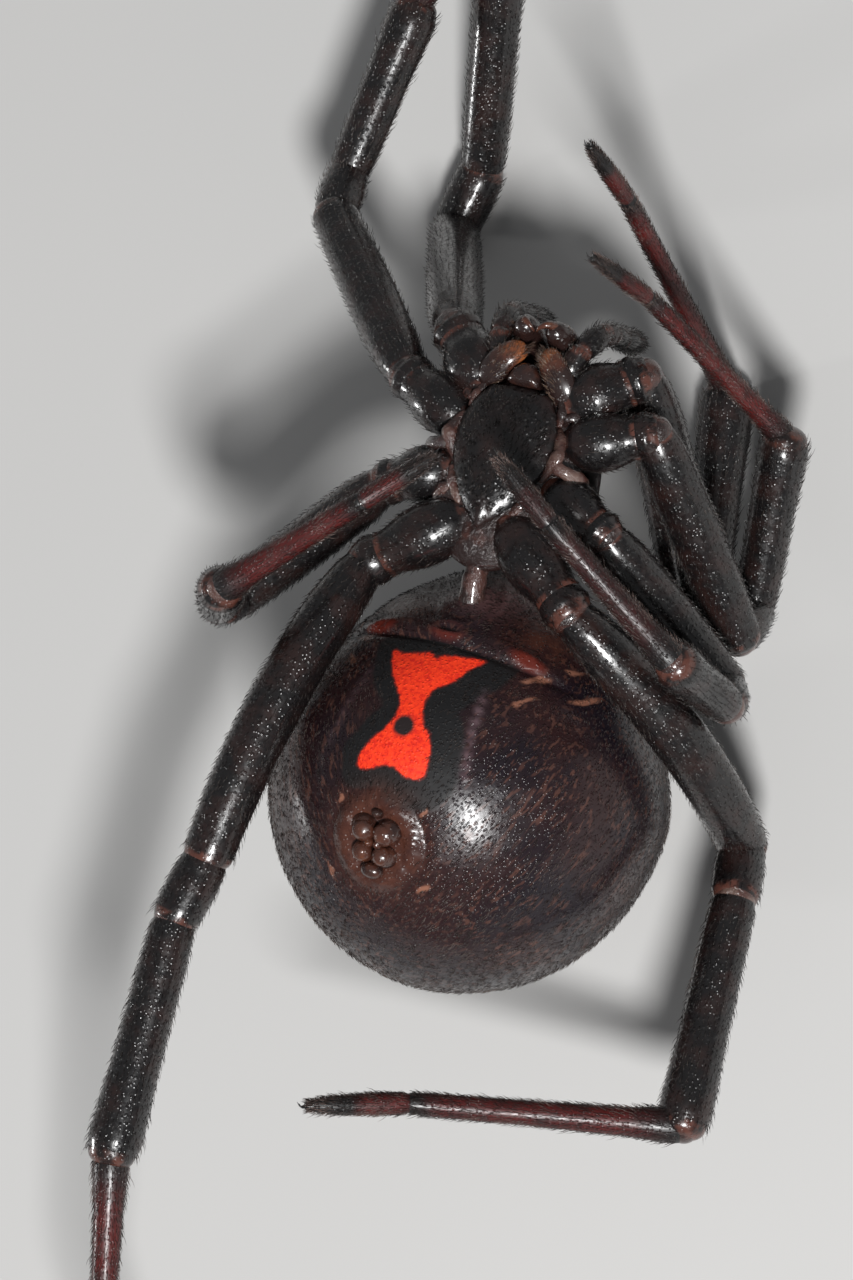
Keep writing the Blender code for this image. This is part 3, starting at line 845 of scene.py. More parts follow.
def joint_ring(joint, before, after, radius):
    """Soft ball of membrane that shows between two parts."""
    along = unit(unit(after - joint) + unit(joint - before))
    across = unit(np.cross(along, (0.3, 0.2, 1.0)))
    turn = np.stack([across, np.cross(along, across), along], axis=1)
    return ball(joint, (radius, radius, radius * 0.9), turn=turn)


def foot_shells(foot, redness):
    """The foot's two parts with their share of red, and its black claws."""
    shells = []
    for part in foot:
        points, faces, values = part.mesh(THIN_SIDES)
        shells.append((points, faces, {"red": red_of(part, values["along"]) * redness}))
    return shells + [toned(claw, "red", 0.0) for claw in claws(foot[-1])]


def leg_rings(number, joints):
    """Rings of membrane at a leg's joints."""
    rings = []
    for index, radius, pale in LEG_MEMBRANES:
        scale = (LEG_THICKNESS if index < ANKLE_JOINTS else FOOT_THICKNESS)[number]
        ring = joint_ring(joints[index], joints[index - 1], joints[index + 1], radius * scale)
        rings.append(toned(ring, "pale", pale))
    return rings


def build_leg(number, side_name, paints):
    leg = f"leg_{number}_{side_name}"
    parts, joints = leg_parts(number, side_name)
    hard = [part for part in parts if part.kind not in FOOT_KINDS]
    foot = [part for part in parts if part.kind in FOOT_KINDS]

    points, faces, values = joined([part.mesh() for part in hard])
    skin = new_object(f"{leg}_skin", points, faces, paints["leg"], {"rim": values["rim"]})
    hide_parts(*(f"{leg}_{kind}" for kind in ("coxa", "femur", "patella", "tibia")))

    points, faces, values = joined(foot_shells(foot, FOOT_RED.get(leg, 1.0)))
    shoe = new_object(f"{leg}_foot_skin", points, faces, paints["foot"], values)
    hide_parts(f"{leg}_foot")

    points, faces, values = joined(leg_rings(number, joints))
    new_object(f"{leg}_joints", points, faces, paints["membrane"], values)

    random = numbers(10 * number + (side_name == "left"))
    groups = [hairs_on_part(part, order, len(parts), random) for order, part in enumerate(parts)]
    coat(f"{leg}_hairs", groups[:-2], paints["leg_hair"])
    coat(f"{leg}_foot_hairs", groups[-2:], paints["foot_hair"])


# Abdomen

STREAK_SCALES = (14.0, 3.0)      # noise cells in a millimetre, across a streak and along it
FURROW_REACH = 1.9
FURROW_DEPTH = 0.07
LUNG_SIZES = (0.62, 0.36)
SLIT_SIZES = (0.36, 0.1)
FOLD_SIZES = (0.42, 0.16)
OPENING_SIZES = (0.22, 0.06)
DIMPLES = ((0.95, 1.1), (1.1, -0.3), (0.9, -1.5))
DIMPLE_SIZES = (0.16, 0.12)
TAN_DASHES = (                   # middle, half sizes and turn of each dash
    ((1.55, 1.84), (0.24, 0.075), 8.0), ((1.6, 1.44), (0.19, 0.07), 34.0),
    ((2.22, 1.76), (0.2, 0.08), 38.0), ((1.95, 2.08), (0.14, 0.05), 20.0),
    ((0.86, -1.9), (0.17, 0.07), 62.0), ((0.78, -0.72), (0.13, 0.05), 70.0),
)


def abdomen_surface(along, around):
    """Points of the plain abdomen: along from the rear pole to the front pole, around from its left."""
    forward = np.maximum(-np.cos(along), 0.0)
    spread = np.sin(along) * (1 - ABDOMEN_FRONT_TAPER * forward ** ABDOMEN_TAPER_POWER)
    height = np.sin(around)
    depth = np.where(height > 0, ABDOMEN_BELLY_DEPTH, ABDOMEN_BACK_DEPTH)
    return np.stack([
        np.cos(around) * spread * ABDOMEN_HALF[0],
        -np.cos(along) * ABDOMEN_HALF[1],
        height * spread * depth,
    ], axis=-1)


def abdomen_normals(points):
    depth = np.where(points[..., 2] > 0, ABDOMEN_BELLY_DEPTH, ABDOMEN_BACK_DEPTH)
    return unit(points / np.stack([
        np.full_like(depth, ABDOMEN_HALF[0]) ** 2,
        np.full_like(depth, ABDOMEN_HALF[1]) ** 2,
        depth ** 2,
    ], axis=-1))


def bell(distance, width):
    """Soft bump of height one."""
    return np.exp(-(distance / width) ** 2)


def oval(x, y, centre, half_sizes, turn=0.0):
    """Distance from an oval's middle in units of its half sizes, for a pair mirrored on both sides."""
    across = np.abs(x) - centre[0]
    forward = y - centre[1]
    cosine, sine = math.cos(math.radians(turn)), math.sin(math.radians(turn))
    return np.hypot(
        (across * cosine + forward * sine) / half_sizes[0],
        (forward * cosine - across * sine) / half_sizes[1],
    )


def mirrored(half):
    """Closed outline from its half on the left side, which starts and ends in the middle."""
    return list(half) + [(-x, y) for x, y in reversed(half) if x > 0]


def rising(distance, width):
    """Soft step from zero to one where a distance passes zero."""
    return 1.0 / (1.0 + np.exp(-distance / width))


def rounded_outline(outline, rounds=3):
    """Closed outline with its corners cut round."""
    points = np.array(outline)
    for _ in range(rounds):
        following = np.roll(points, -1, axis=0)
        cuts = [0.8 * points + 0.2 * following, 0.2 * points + 0.8 * following]
        points = np.stack(cuts, axis=1).reshape(-1, 2)
    return points


def inside_distance(x, y, outline):
    """Distance to an outline, positive inside it."""
    nearest = np.full(x.shape, 9.0)
    crossings = np.zeros(x.shape, dtype=int)
    for (ax, ay), (bx, by) in zip(outline, np.roll(outline, -1, axis=0)):
        span = max((bx - ax) ** 2 + (by - ay) ** 2, 1e-12)
        share = np.clip(((x - ax) * (bx - ax) + (y - ay) * (by - ay)) / span, 0.0, 1.0)
        nearest = np.minimum(nearest, np.hypot(x - ax - share * (bx - ax), y - ay - share * (by - ay)))
        if ay != by:
            reaches = (ay > y) != (by > y)
            crossings += reaches & (x < ax + (y - ay) * (bx - ax) / (by - ay))
    return np.where(crossings % 2 == 1, nearest, -nearest)


def furrow_distance(x, y):
    """How far in front of the furrow across the belly a place lies."""
    return y - (FURROW_PLACE - FURROW_CURVE * x ** 2)


def front_ovals(x, y):
    """Distances from the middles of the lung covers, their slits, the genital fold and its opening."""
    lung = oval(x, y, (LUNG_PLACE[0], LUNG_PLACE[1] + 0.42), LUNG_SIZES, -12.0)
    slit = oval(x, y, LUNG_PLACE, SLIT_SIZES, -18.0)
    across, forward = x - EPIGYNUM_PLACE[0], y - EPIGYNUM_PLACE[1]
    fold = np.hypot(across / FOLD_SIZES[0], forward / FOLD_SIZES[1])
    opening = np.hypot(across / OPENING_SIZES[0], (forward - 0.03) / OPENING_SIZES[1])
    return lung, slit, fold, opening


def front_relief(x, y):
    """Furrow, and the swollen covers, slits, fold and opening in front of it."""
    furrow = furrow_distance(x, y)
    swelling = rising(furrow - 0.08, 0.05) * bell(furrow, 0.9)
    relief = FURROW_DEPTH * rising(FURROW_REACH - np.abs(x), 0.12) * (swelling - bell(furrow, 0.055))
    lung, slit, fold, opening = front_ovals(x, y)
    relief += 0.03 * bell(lung, 0.9) + 0.06 * bell(slit, 1.0) - 0.05 * bell(slit, 0.35)
    return relief + 0.1 * bell(fold, 0.9) - 0.12 * bell(opening, 0.8)


def stalk_relief(x, y):
    """Shoulder that the waist rises from."""
    stalk = np.hypot(x, y - STALK_PLACE)
    return 0.2 * bell(stalk, 0.36) + 0.02 * bell(stalk - 0.45, 0.07)


def spinneret_relief(x, y):
    """Rim and wrinkles round the spinnerets, and the hollow that they stand in."""
    x, y = x - SPINNERET_PLACE[0], y - SPINNERET_PLACE[1]
    around, bearing = np.hypot(x, y), np.arctan2(y, x)
    ripple = np.cos(bearing * 13 + 3 * np.sin(bearing * 3) + 9 * around) * np.cos(bearing * 4 + 3 * around)
    lump = np.sin(bearing * 5 + 1.0) * np.cos(around * 9)
    rim = 0.05 * bell(around - 0.62, 0.12) - 0.03 * bell(around - 0.86, 0.06)
    return rim - 0.07 * bell(around, 0.46) + bell(around - 0.58, 0.2) * (0.022 * ripple + 0.02 * lump)


def side_crease(x, y):
    """Crease beside the hourglass on both sides, and the beads along it."""
    crease = bell(np.abs(x) - (1.25 - 0.16 * y), 0.075) * rising(0.72 - np.abs(y - 0.7), 0.06)
    return crease, 0.5 + 0.5 * np.sin(y * 34)


def abdomen_height(points):
    """Height of the relief over points of the plain abdomen."""
    x, y = points[..., 0], points[..., 1]
    crease, beads = side_crease(x, y)
    belly = front_relief(x, y) + stalk_relief(x, y) + spinneret_relief(x, y) + 0.016 * crease * beads
    back = -0.06 * sum(bell(oval(x, y, place, DIMPLE_SIZES), 0.8) for place in DIMPLES)
    swell = 0.008 * np.sin(x * 3.1 + 2 * np.sin(y * 2.3)) * np.sin(y * 2.7 + 1.3)
    return np.where(points[..., 2] > 0, belly, back) + swell


def hourglass_distance(x, y, belly):
    """Distance to the hourglass's outline, positive inside it, near the middle of the belly."""
    near = belly & (np.abs(x) < 1.5) & (y > -0.9) & (y < 2.5)
    distance = np.full(x.shape, -1.0)
    distance[near] = inside_distance(x[near], y[near], rounded_outline(HOURGLASS))
    return distance


def tan_dashes(x, y):
    """Dashes with ragged edges, mirrored on both sides."""
    ragged_x = np.abs(x) + 0.035 * np.sin(9 * y + 1.3) + 0.018 * np.sin(27 * y + 4 * x)
    ragged_y = y + 0.05 * np.sin(6 * x + 0.4) + 0.016 * np.sin(25 * x + 5 * y)
    return np.max([bell(oval(ragged_x, ragged_y, *dash), 1.1) for dash in TAN_DASHES], axis=0)


def abdomen_marks(points):
    """Values that say where the colours of the abdomen's marks lie."""
    x, y, z = points[..., 0], points[..., 1], points[..., 2]
    belly = z > 0
    lung, slit, fold, opening = front_ovals(x, y)
    around = np.hypot(x - SPINNERET_PLACE[0], y - SPINNERET_PLACE[1])
    crease, beads = side_crease(x, y)
    glass = hourglass_distance(x, y, belly)
    dot = np.hypot(x - HOURGLASS_DOT[0], y - HOURGLASS_DOT[1]) - HOURGLASS_DOT[2]
    border = np.where(x > 0, 0.34, 0.16)
    marks = {
        "spot": rising(-dot, 0.035),
        "velvet": bell(np.maximum(-glass - border, 0.0), 0.22) * (furrow_distance(x, y) < 0),
        "brown": np.maximum(bell(lung, 0.95) * 0.8, bell(around - 0.45, 0.42)),
        "red": np.maximum(bell(slit, 1.1), bell(fold, 0.9) * (1 - bell(opening, 1.0))),
        "tan": tan_dashes(x, y),
        "crease": crease * (0.4 + 0.6 * beads) * np.where(x > 0, 0.75, 0.3),
    }
    marks = {key: belly * mark for key, mark in marks.items()}
    marks["glass"] = glass
    # painted highlight on the rounded front of the abdomen, the pinkish shine by the waist
    marks["front_highlight"] = bell(np.hypot(x - 0.1, z - 1.5), 1.0) * rising(y - 2.6, 0.15)
    return marks


def flow_at(points):
    """Direction that the hairs and streaks point to, before it is laid along the surface."""
    side = np.tanh(points[..., :1] / 0.4)
    return unit(np.concatenate([
        FLOW_POLE[0] * side,
        np.full_like(side, FLOW_POLE[1]),
        np.full_like(side, FLOW_POLE[2]),
    ], axis=-1))


def flow_coordinates(points):
    """Noise coordinates that are stretched along the streaks: fine across them and coarse along them."""
    pole = unit(np.array(FLOW_POLE))
    folded = points.copy()
    folded[..., 0] = np.abs(folded[..., 0])
    along = folded @ pole
    return folded * STREAK_SCALES[0] + pole * (along * (STREAK_SCALES[1] - STREAK_SCALES[0]))[..., None]


def build_abdomen(paints):
    along = np.linspace(0.0, math.pi, ABDOMEN_ROWS + 2)[1:-1]
    around = np.linspace(0.0, 2 * math.pi, ABDOMEN_COLUMNS, endpoint=False)
    along, around = np.meshgrid(along, around, indexing="ij")
    plain = abdomen_surface(along, around)
    grid = plain + abdomen_normals(plain) * abdomen_height(plain)[..., None] + ABDOMEN_CENTRE
    grid[..., 2] = np.maximum(grid[..., 2], 0.0)
    points, faces = closed_grid(grid)
    values = {}
    for key, mark in abdomen_marks(plain).items():
        values[key] = np.concatenate([mark.ravel(), [mark[0].mean(), mark[-1].mean()]])
    values["flow"] = flow_coordinates(points - ABDOMEN_CENTRE)
    skin = new_object("abdomen_skin", points, facing_out(points, faces), paints["abdomen"], values)
    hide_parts("abdomen")
    for half in ("belly", "back"):
        abdomen_coat(half, paints["abdomen_hair"])


ABDOMEN_HAIRS = 12500            # on each half
ABDOMEN_HAIR_LENGTH = 0.115
ABDOMEN_HAIR_LENGTHS = (0.65, 1.35)
ABDOMEN_HAIR_RADIUS = 0.0048
ABDOMEN_HAIR_LIFT = (12.0, 34.0)
ABDOMEN_HAIR_SWAY = 0.16
BARE_FLAT = 0.35                 # height over the floor below which the abdomen has no hairs


def abdomen_coat(half, material):
    """Short hairs on one half of the abdomen that lean back and towards the spinnerets."""
    random = numbers(SEEDS[half])
    tries = ABDOMEN_HAIRS * 2
    along = np.arccos(random.uniform(-1.0, 1.0, tries))
    around = random.uniform(0.0, math.pi, tries) + (0.0 if half == "belly" else math.pi)
    plain = abdomen_surface(along, around)
    marks = abdomen_marks(plain)
    bare = (marks["brown"] > 0.6) | (marks["red"] > 0.4) | (marks["glass"] > 0.0)
    keep = np.flatnonzero(~bare & (plain[:, 2] + ABDOMEN_CENTRE[2] > BARE_FLAT))[:ABDOMEN_HAIRS]
    plain, along, around = plain[keep], along[keep], around[keep]
    outwards = abdomen_normals(plain)
    roots = plain + outwards * (abdomen_height(plain)[:, None] - HAIR_RADIUS) + ABDOMEN_CENTRE
    wanted = flow_at(plain)
    forwards = unit(wanted - outwards * np.sum(wanted * outwards, axis=1, keepdims=True))
    sideways = np.cross(outwards, forwards) * random.normal(0.0, ABDOMEN_HAIR_SWAY, len(keep))[:, None]
    lift = np.radians(random.uniform(*ABDOMEN_HAIR_LIFT, len(keep)))[:, None]
    leans = unit(forwards * np.cos(lift) + outwards * np.sin(lift) + sideways)
    lengths = ABDOMEN_HAIR_LENGTH * random.uniform(*ABDOMEN_HAIR_LENGTHS, len(keep))
    bake = on_bake_map(around / (2 * math.pi), along / math.pi)
    group = hairs(roots, leans, outwards, lengths, ABDOMEN_HAIR_RADIUS, bake)
    return coat(f"abdomen_hairs_{half}", [group], material)


def on_belly(x, y):
    """Point of the belly's surface over a place in plan."""
    along = math.acos(max(min(-y / ABDOMEN_HALF[1], 1.0), -1.0))
    forward = max(y / ABDOMEN_HALF[1], 0.0)
    spread = math.sin(along) * (1 - ABDOMEN_FRONT_TAPER * forward ** ABDOMEN_TAPER_POWER)
    height = math.sqrt(max(1 - (x / (spread * ABDOMEN_HALF[0])) ** 2, 0.0))
    return np.array((x, y, height * spread * ABDOMEN_BELLY_DEPTH))


SPINNERETS = (                   # place across and forwards, length, radius and lean inwards of each pair
    (0.23, 0.2, 0.36, 0.22, 0.35), (0.1, -0.04, 0.26, 0.1, 0.1), (0.22, -0.26, 0.34, 0.19, 0.4),
)
SPINNERET_TAPER = (1.0, 1.02, 1.03, 1.02, 1.0, 0.97, 0.92, 0.86, 0.88, 0.84, 0.76, 0.62, 0.42, 0.18)
SPINNERET_SINK = 0.1
SPINNERET_MOUNDS = ((0.46, (0.1, 0.08, 0.12)), (-0.52, (0.2, 0.14, 0.16)))


def spinneret(foot, lean, length, radius):
    """One cone, browner towards its tip."""
    shares = np.linspace(0.0, 1.0, len(SPINNERET_TAPER))
    points, faces, _ = sweep(foot + np.outer(shares, lean * length), radius * np.array(SPINNERET_TAPER), 24)
    share = np.clip((points - foot) @ lean / length, 0.0, 1.0)
    return points, faces, {"amber": 0.05 + 0.35 * share}


def build_spinnerets(paints):
    """Two front, two middle and two rear cones between two small mounds."""
    base = on_belly(*SPINNERET_PLACE)
    outward = abdomen_normals(base)
    base = base + ABDOMEN_CENTRE
    rearwards = unit(np.array((0.0, -1.0, 0.0)) + outward * outward[1])
    cones = []
    for across, forward, length, radius, splay in SPINNERETS:
        for side in SIDES.values():
            place = np.array((across * side, 0.0, 0.0)) - rearwards * forward
            foot = base + place - outward * SPINNERET_SINK
            cones.append(spinneret(foot, unit(outward - unit(place) * splay), length, radius))
    for forward, sizes in SPINNERET_MOUNDS:
        cones.append(toned(ball(base - rearwards * forward, sizes), "amber", 0.15))
    points, faces, values = joined(cones)
    piece = new_object("spinnerets_skin", points, faces, paints["mouth"], values)
    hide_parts("spinnerets")


# Front half of the body

CARAPACE_SECTIONS = (
    (-1.74, 0.3, 0.2), (-1.66, 0.62, 0.36), (-1.4, 1.02, 0.56), (-0.9, 1.36, 0.68), (-0.2, 1.49, 0.71),
    (0.4, 1.37, 0.77), (0.9, 1.1, 0.88), (1.4, 0.96, 0.94), (1.8, 0.88, 0.9), (2.0, 0.74, 0.7),
    (2.06, 0.5, 0.4),
)
CARAPACE_ROUNDNESS = 0.8
CARAPACE_ROWS = 120
CARAPACE_COLUMNS = 128
CARAPACE_GROOVE = -0.5           # place of the middle groove


def carapace_stations():
    """Places along the carapace, close together at its ends, with its half width and depth there."""
    places, widths, depths = (np.array(column) for column in zip(*CARAPACE_SECTIONS))
    length = places[-1] - places[0]
    shares = 0.5 - 0.5 * np.cos(np.linspace(0.02, math.pi - 0.02, CARAPACE_ROWS))
    rounding = np.minimum(np.minimum(shares, 1 - shares) / 0.03, 1.0) ** 0.5
    sizes = []
    for column in (widths, depths):
        table = smooth_table(list(zip((places - places[0]) / length, column)), width=25)
        sizes.append(np.interp(shares, *table) * rounding)
    return places[0] + length * shares, sizes[0], sizes[1]


def carapace_relief(x, place):
    """Depth of the middle groove, the rays round it, and the neck behind the eyes."""
    forward = place - CARAPACE_GROOVE
    groove = 0.1 * bell(x, 0.28) * bell(forward, 0.16)
    rays = 0.022 * np.cos(np.arctan2(x, forward) * 8) * bell(np.hypot(x, forward) - 0.8, 0.5)
    neck = 0.05 * bell(place - 0.75 + 0.35 * np.abs(x), 0.12) * bell(np.abs(x) - 0.5, 0.4)
    return groove + rays + neck


def build_carapace(paints):
    place, width, depth = carapace_stations()
    angle = np.linspace(0.0, 2 * math.pi, CARAPACE_COLUMNS, endpoint=False)
    place, angle = np.meshgrid(place, angle, indexing="ij")
    x = np.cos(angle) * width[:, None]
    down = np.abs(np.sin(angle)) ** CARAPACE_ROUNDNESS * depth[:, None]
    z = CARAPACE_UNDERSIDE + np.where(np.sin(angle) > 0, carapace_relief(x, place) - down, 0.08 * down)
    rim = bell(np.minimum(np.abs(angle), np.abs(angle - math.pi)), 0.09)
    grid = np.stack([x * (1 + 0.015 * rim), place, z], axis=-1)
    points, faces = closed_grid(front_body(grid))
    piece = new_object("carapace_skin", points, facing_out(points, faces), paints["shell"])
    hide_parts("carapace")


PLATE_RINGS = 26
PLATE_RIM = ((1.006, -1.0), (1.006, -1.35), (1.0, -1.8))


def plate(outline, crown, depth):
    """Domed plate of the front body over a closed outline, with its rim turned down."""
    centre = outline.mean(axis=0)
    bearing = np.arctan2(outline[:, 1] - centre[1], outline[:, 0] - centre[0])
    waves = 1.0 + 0.007 * np.sin(23 * bearing) + 0.006 * np.sin(41 * bearing + 1.0)
    reach = (outline - centre) * waves[:, None]
    levels = [(s, crown * (1 - s ** 2) - 0.75 * crown * s ** 6) for s in np.linspace(0.02, 1.0, PLATE_RINGS)]
    levels += [(spread, drop * crown) for spread, drop in PLATE_RIM]
    levels += [(0.97, -depth), (0.2, -depth)]
    rings = [np.column_stack([centre + reach * s, np.full(len(outline), z)]) for s, z in levels]
    return closed_grid(front_body(np.array(rings)))


STERNUM_OUTLINE = (
    (0.0, -1.32), (0.14, -1.2), (0.44, -0.88), (0.78, -0.3), (0.88, 0.18), (0.82, 0.62), (0.56, 1.1),
    (0.0, 1.17),
)
LABIUM_OUTLINE = ((0.0, 1.16), (0.3, 1.18), (0.26, 1.4), (0.12, 1.55), (0.0, 1.57))
STERNUM_CROWN = 0.13
STERNUM_SPOTS = 1100
STERNUM_BOX = ((-0.9, -1.3), (0.9, 1.15))
MOUTH_HAIR_COUNTS = {"endites": 170, "fringe": 130, "jaws": 150}


def sternum_hairs(outline):
    """Sparse hairs that lean rearwards, on a plate that falls off near its rim."""
    random = numbers(SEEDS["sternum"])
    spots = random.uniform(*STERNUM_BOX, (STERNUM_SPOTS, 2))
    depth = inside_distance(spots[:, 0], spots[:, 1], outline)
    spots = spots[depth > 0.03]
    depth = depth[depth > 0.03]
    height = STERNUM_CROWN * np.minimum(depth / 0.5, 1.0) ** 0.7
    lifts = random.uniform(0.35, 0.8, len(spots))
    leans = unit(np.column_stack([-0.4 * spots[:, 0], -np.ones(len(spots)), lifts]))
    outwards = np.tile((0.0, 0.0, 1.0), (len(spots), 1))
    lengths = 0.11 * random.uniform(0.6, 1.4, len(spots))
    roots = np.column_stack([spots, height - 0.02])
    return front_hairs(roots, leans, outwards, lengths, 0.0055, (spots + (1.5, 1.5)) / 3.0)


def build_sternum(paints):
    outline = rounded_outline(mirrored(STERNUM_OUTLINE))
    points, faces = plate(outline, STERNUM_CROWN, 0.5)
    piece = new_object("sternum_skin", points, facing_out(points, faces), paints["shell"])
    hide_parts("sternum")
    coat("sternum_hairs", [sternum_hairs(outline)], paints["leg_hair"])


MOUTH_SPINE = ((0.8, 1.08, -0.34), (0.62, 1.36, -0.14), (0.4, 1.62, -0.05), (0.17, 1.86, -0.14))
MOUTH_RINGS = 34
MOUTH_SIDES = 40
MOUTH_FLATNESS = 0.62


def mouth_width(share):
    """Half width of a palp base along its spine."""
    return 0.25 * (1 - (2 * share - 1) ** 4) ** 0.5 * (1.08 - 0.3 * share)


def build_mouth(paints):
    """Lip between two palp bases that lean together in front of it."""
    lip = plate(rounded_outline(mirrored(LABIUM_OUTLINE)), 0.08, 0.4)
    parts = [toned(lip, "amber", 0.05)]
    share = np.linspace(0.0, 1.0, MOUTH_RINGS)
    reach = np.concatenate([np.repeat(share, MOUTH_SIDES), [0.0, 1.0]])
    amber = np.clip(1.7 * reach - 0.75, -0.1, 0.7)
    for side in SIDES.values():
        path = front_body(curve_through(MOUTH_SPINE, MOUTH_RINGS) * (side, 1.0, 1.0))
        points, faces, _ = sweep(path, mouth_width(share) + 0.01, MOUTH_SIDES, MOUTH_FLATNESS)
        parts.append((points, faces, {"amber": amber}))
    points, faces, values = joined(parts)
    piece = new_object("mouth_skin", points, faces, paints["mouth"], values)
    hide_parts("mouth")
    random = numbers(SEEDS["mouth"])
    groups = []
    for side in SIDES.values():
        groups += [endite_hairs(side, random), mouth_fringe(side, random), jaw_bristles(side, random)]
    coat("mouth_hairs", groups, paints["mouth_hair"])


def endite_hairs(side, random):
    """Hairs over a palp base that lean towards its tip."""
    count = MOUTH_HAIR_COUNTS["endites"]
    share = random.uniform(0.08, 0.95, count)
    turns = random.uniform(-1.3, 1.3, count)
    spine = curve_through(MOUTH_SPINE, 40)[(share * 39).astype(int)] * (side, 1.0, 1.0)
    along = unit(np.array((-0.63 * side, 0.78, 0.2)))
    across = np.cross(along, (0.0, 0.0, 1.0))
    up = np.array((0.0, 0.0, MOUTH_FLATNESS))
    around = across * np.sin(turns)[:, None] + up * np.cos(turns)[:, None]
    leans = unit(along + 0.6 * unit(around) + random.normal(0.0, 0.12, (count, 3)))
    lengths = 0.12 * random.uniform(0.6, 1.3, count)
    bake = np.column_stack([share * 0.3 + (0.15 if side > 0 else 0.6), 0.3 + 0.05 * turns])
    roots = spine + around * mouth_width(share)[:, None]
    return front_hairs(roots, leans, unit(around), lengths, 0.005, bake)


def mouth_fringe(side, random):
    """Fringe on the inner edge of a palp base."""
    count = MOUTH_HAIR_COUNTS["fringe"]
    share = np.sort(random.uniform(0.0, 1.0, count))[:, None]
    start, end = np.array((0.36 * side, 1.5, -0.02)), np.array((0.13 * side, 1.86, -0.12))
    roots = start + (end - start) * share + random.normal(0.0, 0.02, (count, 3))
    leans = unit(np.array((-0.75 * side, 0.35, 0.25)) + random.normal(0.0, 0.22, (count, 3)))
    outwards = np.tile((0.0, 0.0, 1.0), (count, 1))
    lengths = 0.16 * random.uniform(0.6, 1.2, count)
    bake = np.column_stack([share * 0.4 + (0.1 if side > 0 else 0.55), np.full(count, 0.2)])
    return front_hairs(roots, leans, outwards, lengths, 0.006, bake)


def jaw_bristles(side, random):
    """Bristles on the front and the inner side of a jaw."""
    count = MOUTH_HAIR_COUNTS["jaws"]
    turns, heights = random.uniform(-0.9, 1.7, count), random.uniform(0.1, 0.85, count)
    centre = np.column_stack([np.full(count, 0.32 * side), 1.95 + 0.2 * heights, -0.9 + 0.9 * heights])
    around = np.column_stack([np.sin(turns) * side, np.cos(turns), np.zeros(count)])
    roots = centre + around * (0.27 * (1.05 - 0.35 * heights))[:, None]
    leans = unit(around * 0.5 + np.array((0.0, 0.1, 0.9)))
    lengths = 0.15 * random.uniform(0.6, 1.2, count)
    bake = np.column_stack([turns * 0.1 + (0.2 if side > 0 else 0.7), 0.5 + 0.4 * heights])
    return front_hairs(roots, leans, around, lengths, 0.0055, bake)


MEMBRANE_FOLDS = (               # places from end to end, radius, and paleness on the left and right
    (((0.74, 0.68, -0.34), (0.95, 0.34, -0.17), (0.96, 0.06, -0.12), (0.66, -0.42, -0.36)),
     0.125, 0.44, 0.22),
    (((0.78, 0.1, -0.2), (1.08, -0.04, -0.14), (1.3, -0.08, -0.3), (1.38, -0.1, -0.62), (1.1, -0.1, -0.9)),
     0.13, 0.44, -0.2),
    (((0.8, -0.36, -0.2), (0.68, -0.66, -0.18), (0.46, -0.96, -0.24)), 0.09, 0.15, 0.35),
    (((0.7, -0.66, -0.2), (0.92, -0.8, -0.34), (1.1, -0.93, -0.6)), 0.1, 0.2, 0.3),
    (((0.82, 0.66, -0.2), (0.78, 0.9, -0.18), (0.68, 1.14, -0.22)), 0.08, 0.0, 0.1),
    (((0.86, 0.82, -0.2), (1.06, 0.95, -0.36), (1.25, 1.08, -0.6)), 0.1, 0.1, 0.05),
)
FOLD_RINGS = 24
WAIST_RINGS = 30
WAIST_RADIUS = 0.2
WAIST_FLARE = 0.06


def skin_fold(fold, side, radius, pale):
    """Puckered fold of skin through places on the left, mirrored for the right."""
    path = front_body(curve_through(np.array(fold) * (side, 1.0, 1.0), FOLD_RINGS))
    share = np.linspace(0.0, 1.0, FOLD_RINGS)
    taper = radius * np.sin(np.linspace(0.12, math.pi - 0.12, FOLD_RINGS)) ** 0.4
    taper = taper * (1.0 + 0.13 * np.sin(share * 15 + radius * 90) + 0.05 * np.sin(share * 37))
    return toned(sweep(path, taper, sides=18, flatten=0.7), "pale", pale)


def build_flanks(paints):
    """Soft skin between carapace, coxae and sternum."""
    centre = front_body((0.0, -0.1, -0.62))
    folds = [toned(ball(centre, (1.28, 1.8, 0.5), rows=60, columns=90, turn=front_turn()), "pale", -0.1)]
    for side in SIDES.values():
        for fold, radius, pale_left, pale_right in MEMBRANE_FOLDS:
            folds.append(skin_fold(fold, side, radius, pale_left if side > 0 else pale_right))
    points, faces, values = joined(folds)
    new_object("flank_membrane", points, faces, paints["membrane"], values)


def build_waist(paints):
    low, high = (np.array(corner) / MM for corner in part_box("waist"))
    path = curve_through([
        (0.0, low[1] - 0.6, low[2] - 0.1),
        (0.0, low[1] + 0.25, high[2] - 0.2),
        (0.0, (low[1] + high[1]) / 2 + 0.1, high[2] - 0.16),
        (0.0, high[1] + 0.2, high[2] - 0.2),
    ], WAIST_RINGS)
    share = np.linspace(0.0, 1.0, WAIST_RINGS)
    radii = WAIST_RADIUS * (1.0 + 0.05 * np.sin(share * 30)) + WAIST_FLARE * np.maximum(1 - share / 0.5, 0.0)
    points, faces, values = joined([toned(sweep(path, radii, sides=28), "pale", 0.12)])
    piece = new_object("waist_skin", points, faces, paints["membrane"], values)
    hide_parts("waist")


JAW_PATH = ((0.3, 1.92, -1.08), (0.33, 2.04, -0.7), (0.32, 2.14, -0.3), (0.25, 2.2, 0.1))
JAW_RADIUS = 0.29
JAW_TAPER = ((0.0, 0.1, 0.35, 0.7, 0.92, 1.0), (0.75, 0.95, 1.0, 0.86, 0.6, 0.25))
JAW_RINGS = 26
FANG_PATH = ((0.27, 2.24, 0.04), (0.2, 2.2, 0.2), (0.08, 2.12, 0.2), (0.02, 2.06, 0.12))
FANG_RADII = np.linspace(0.085, 0.008, 18)


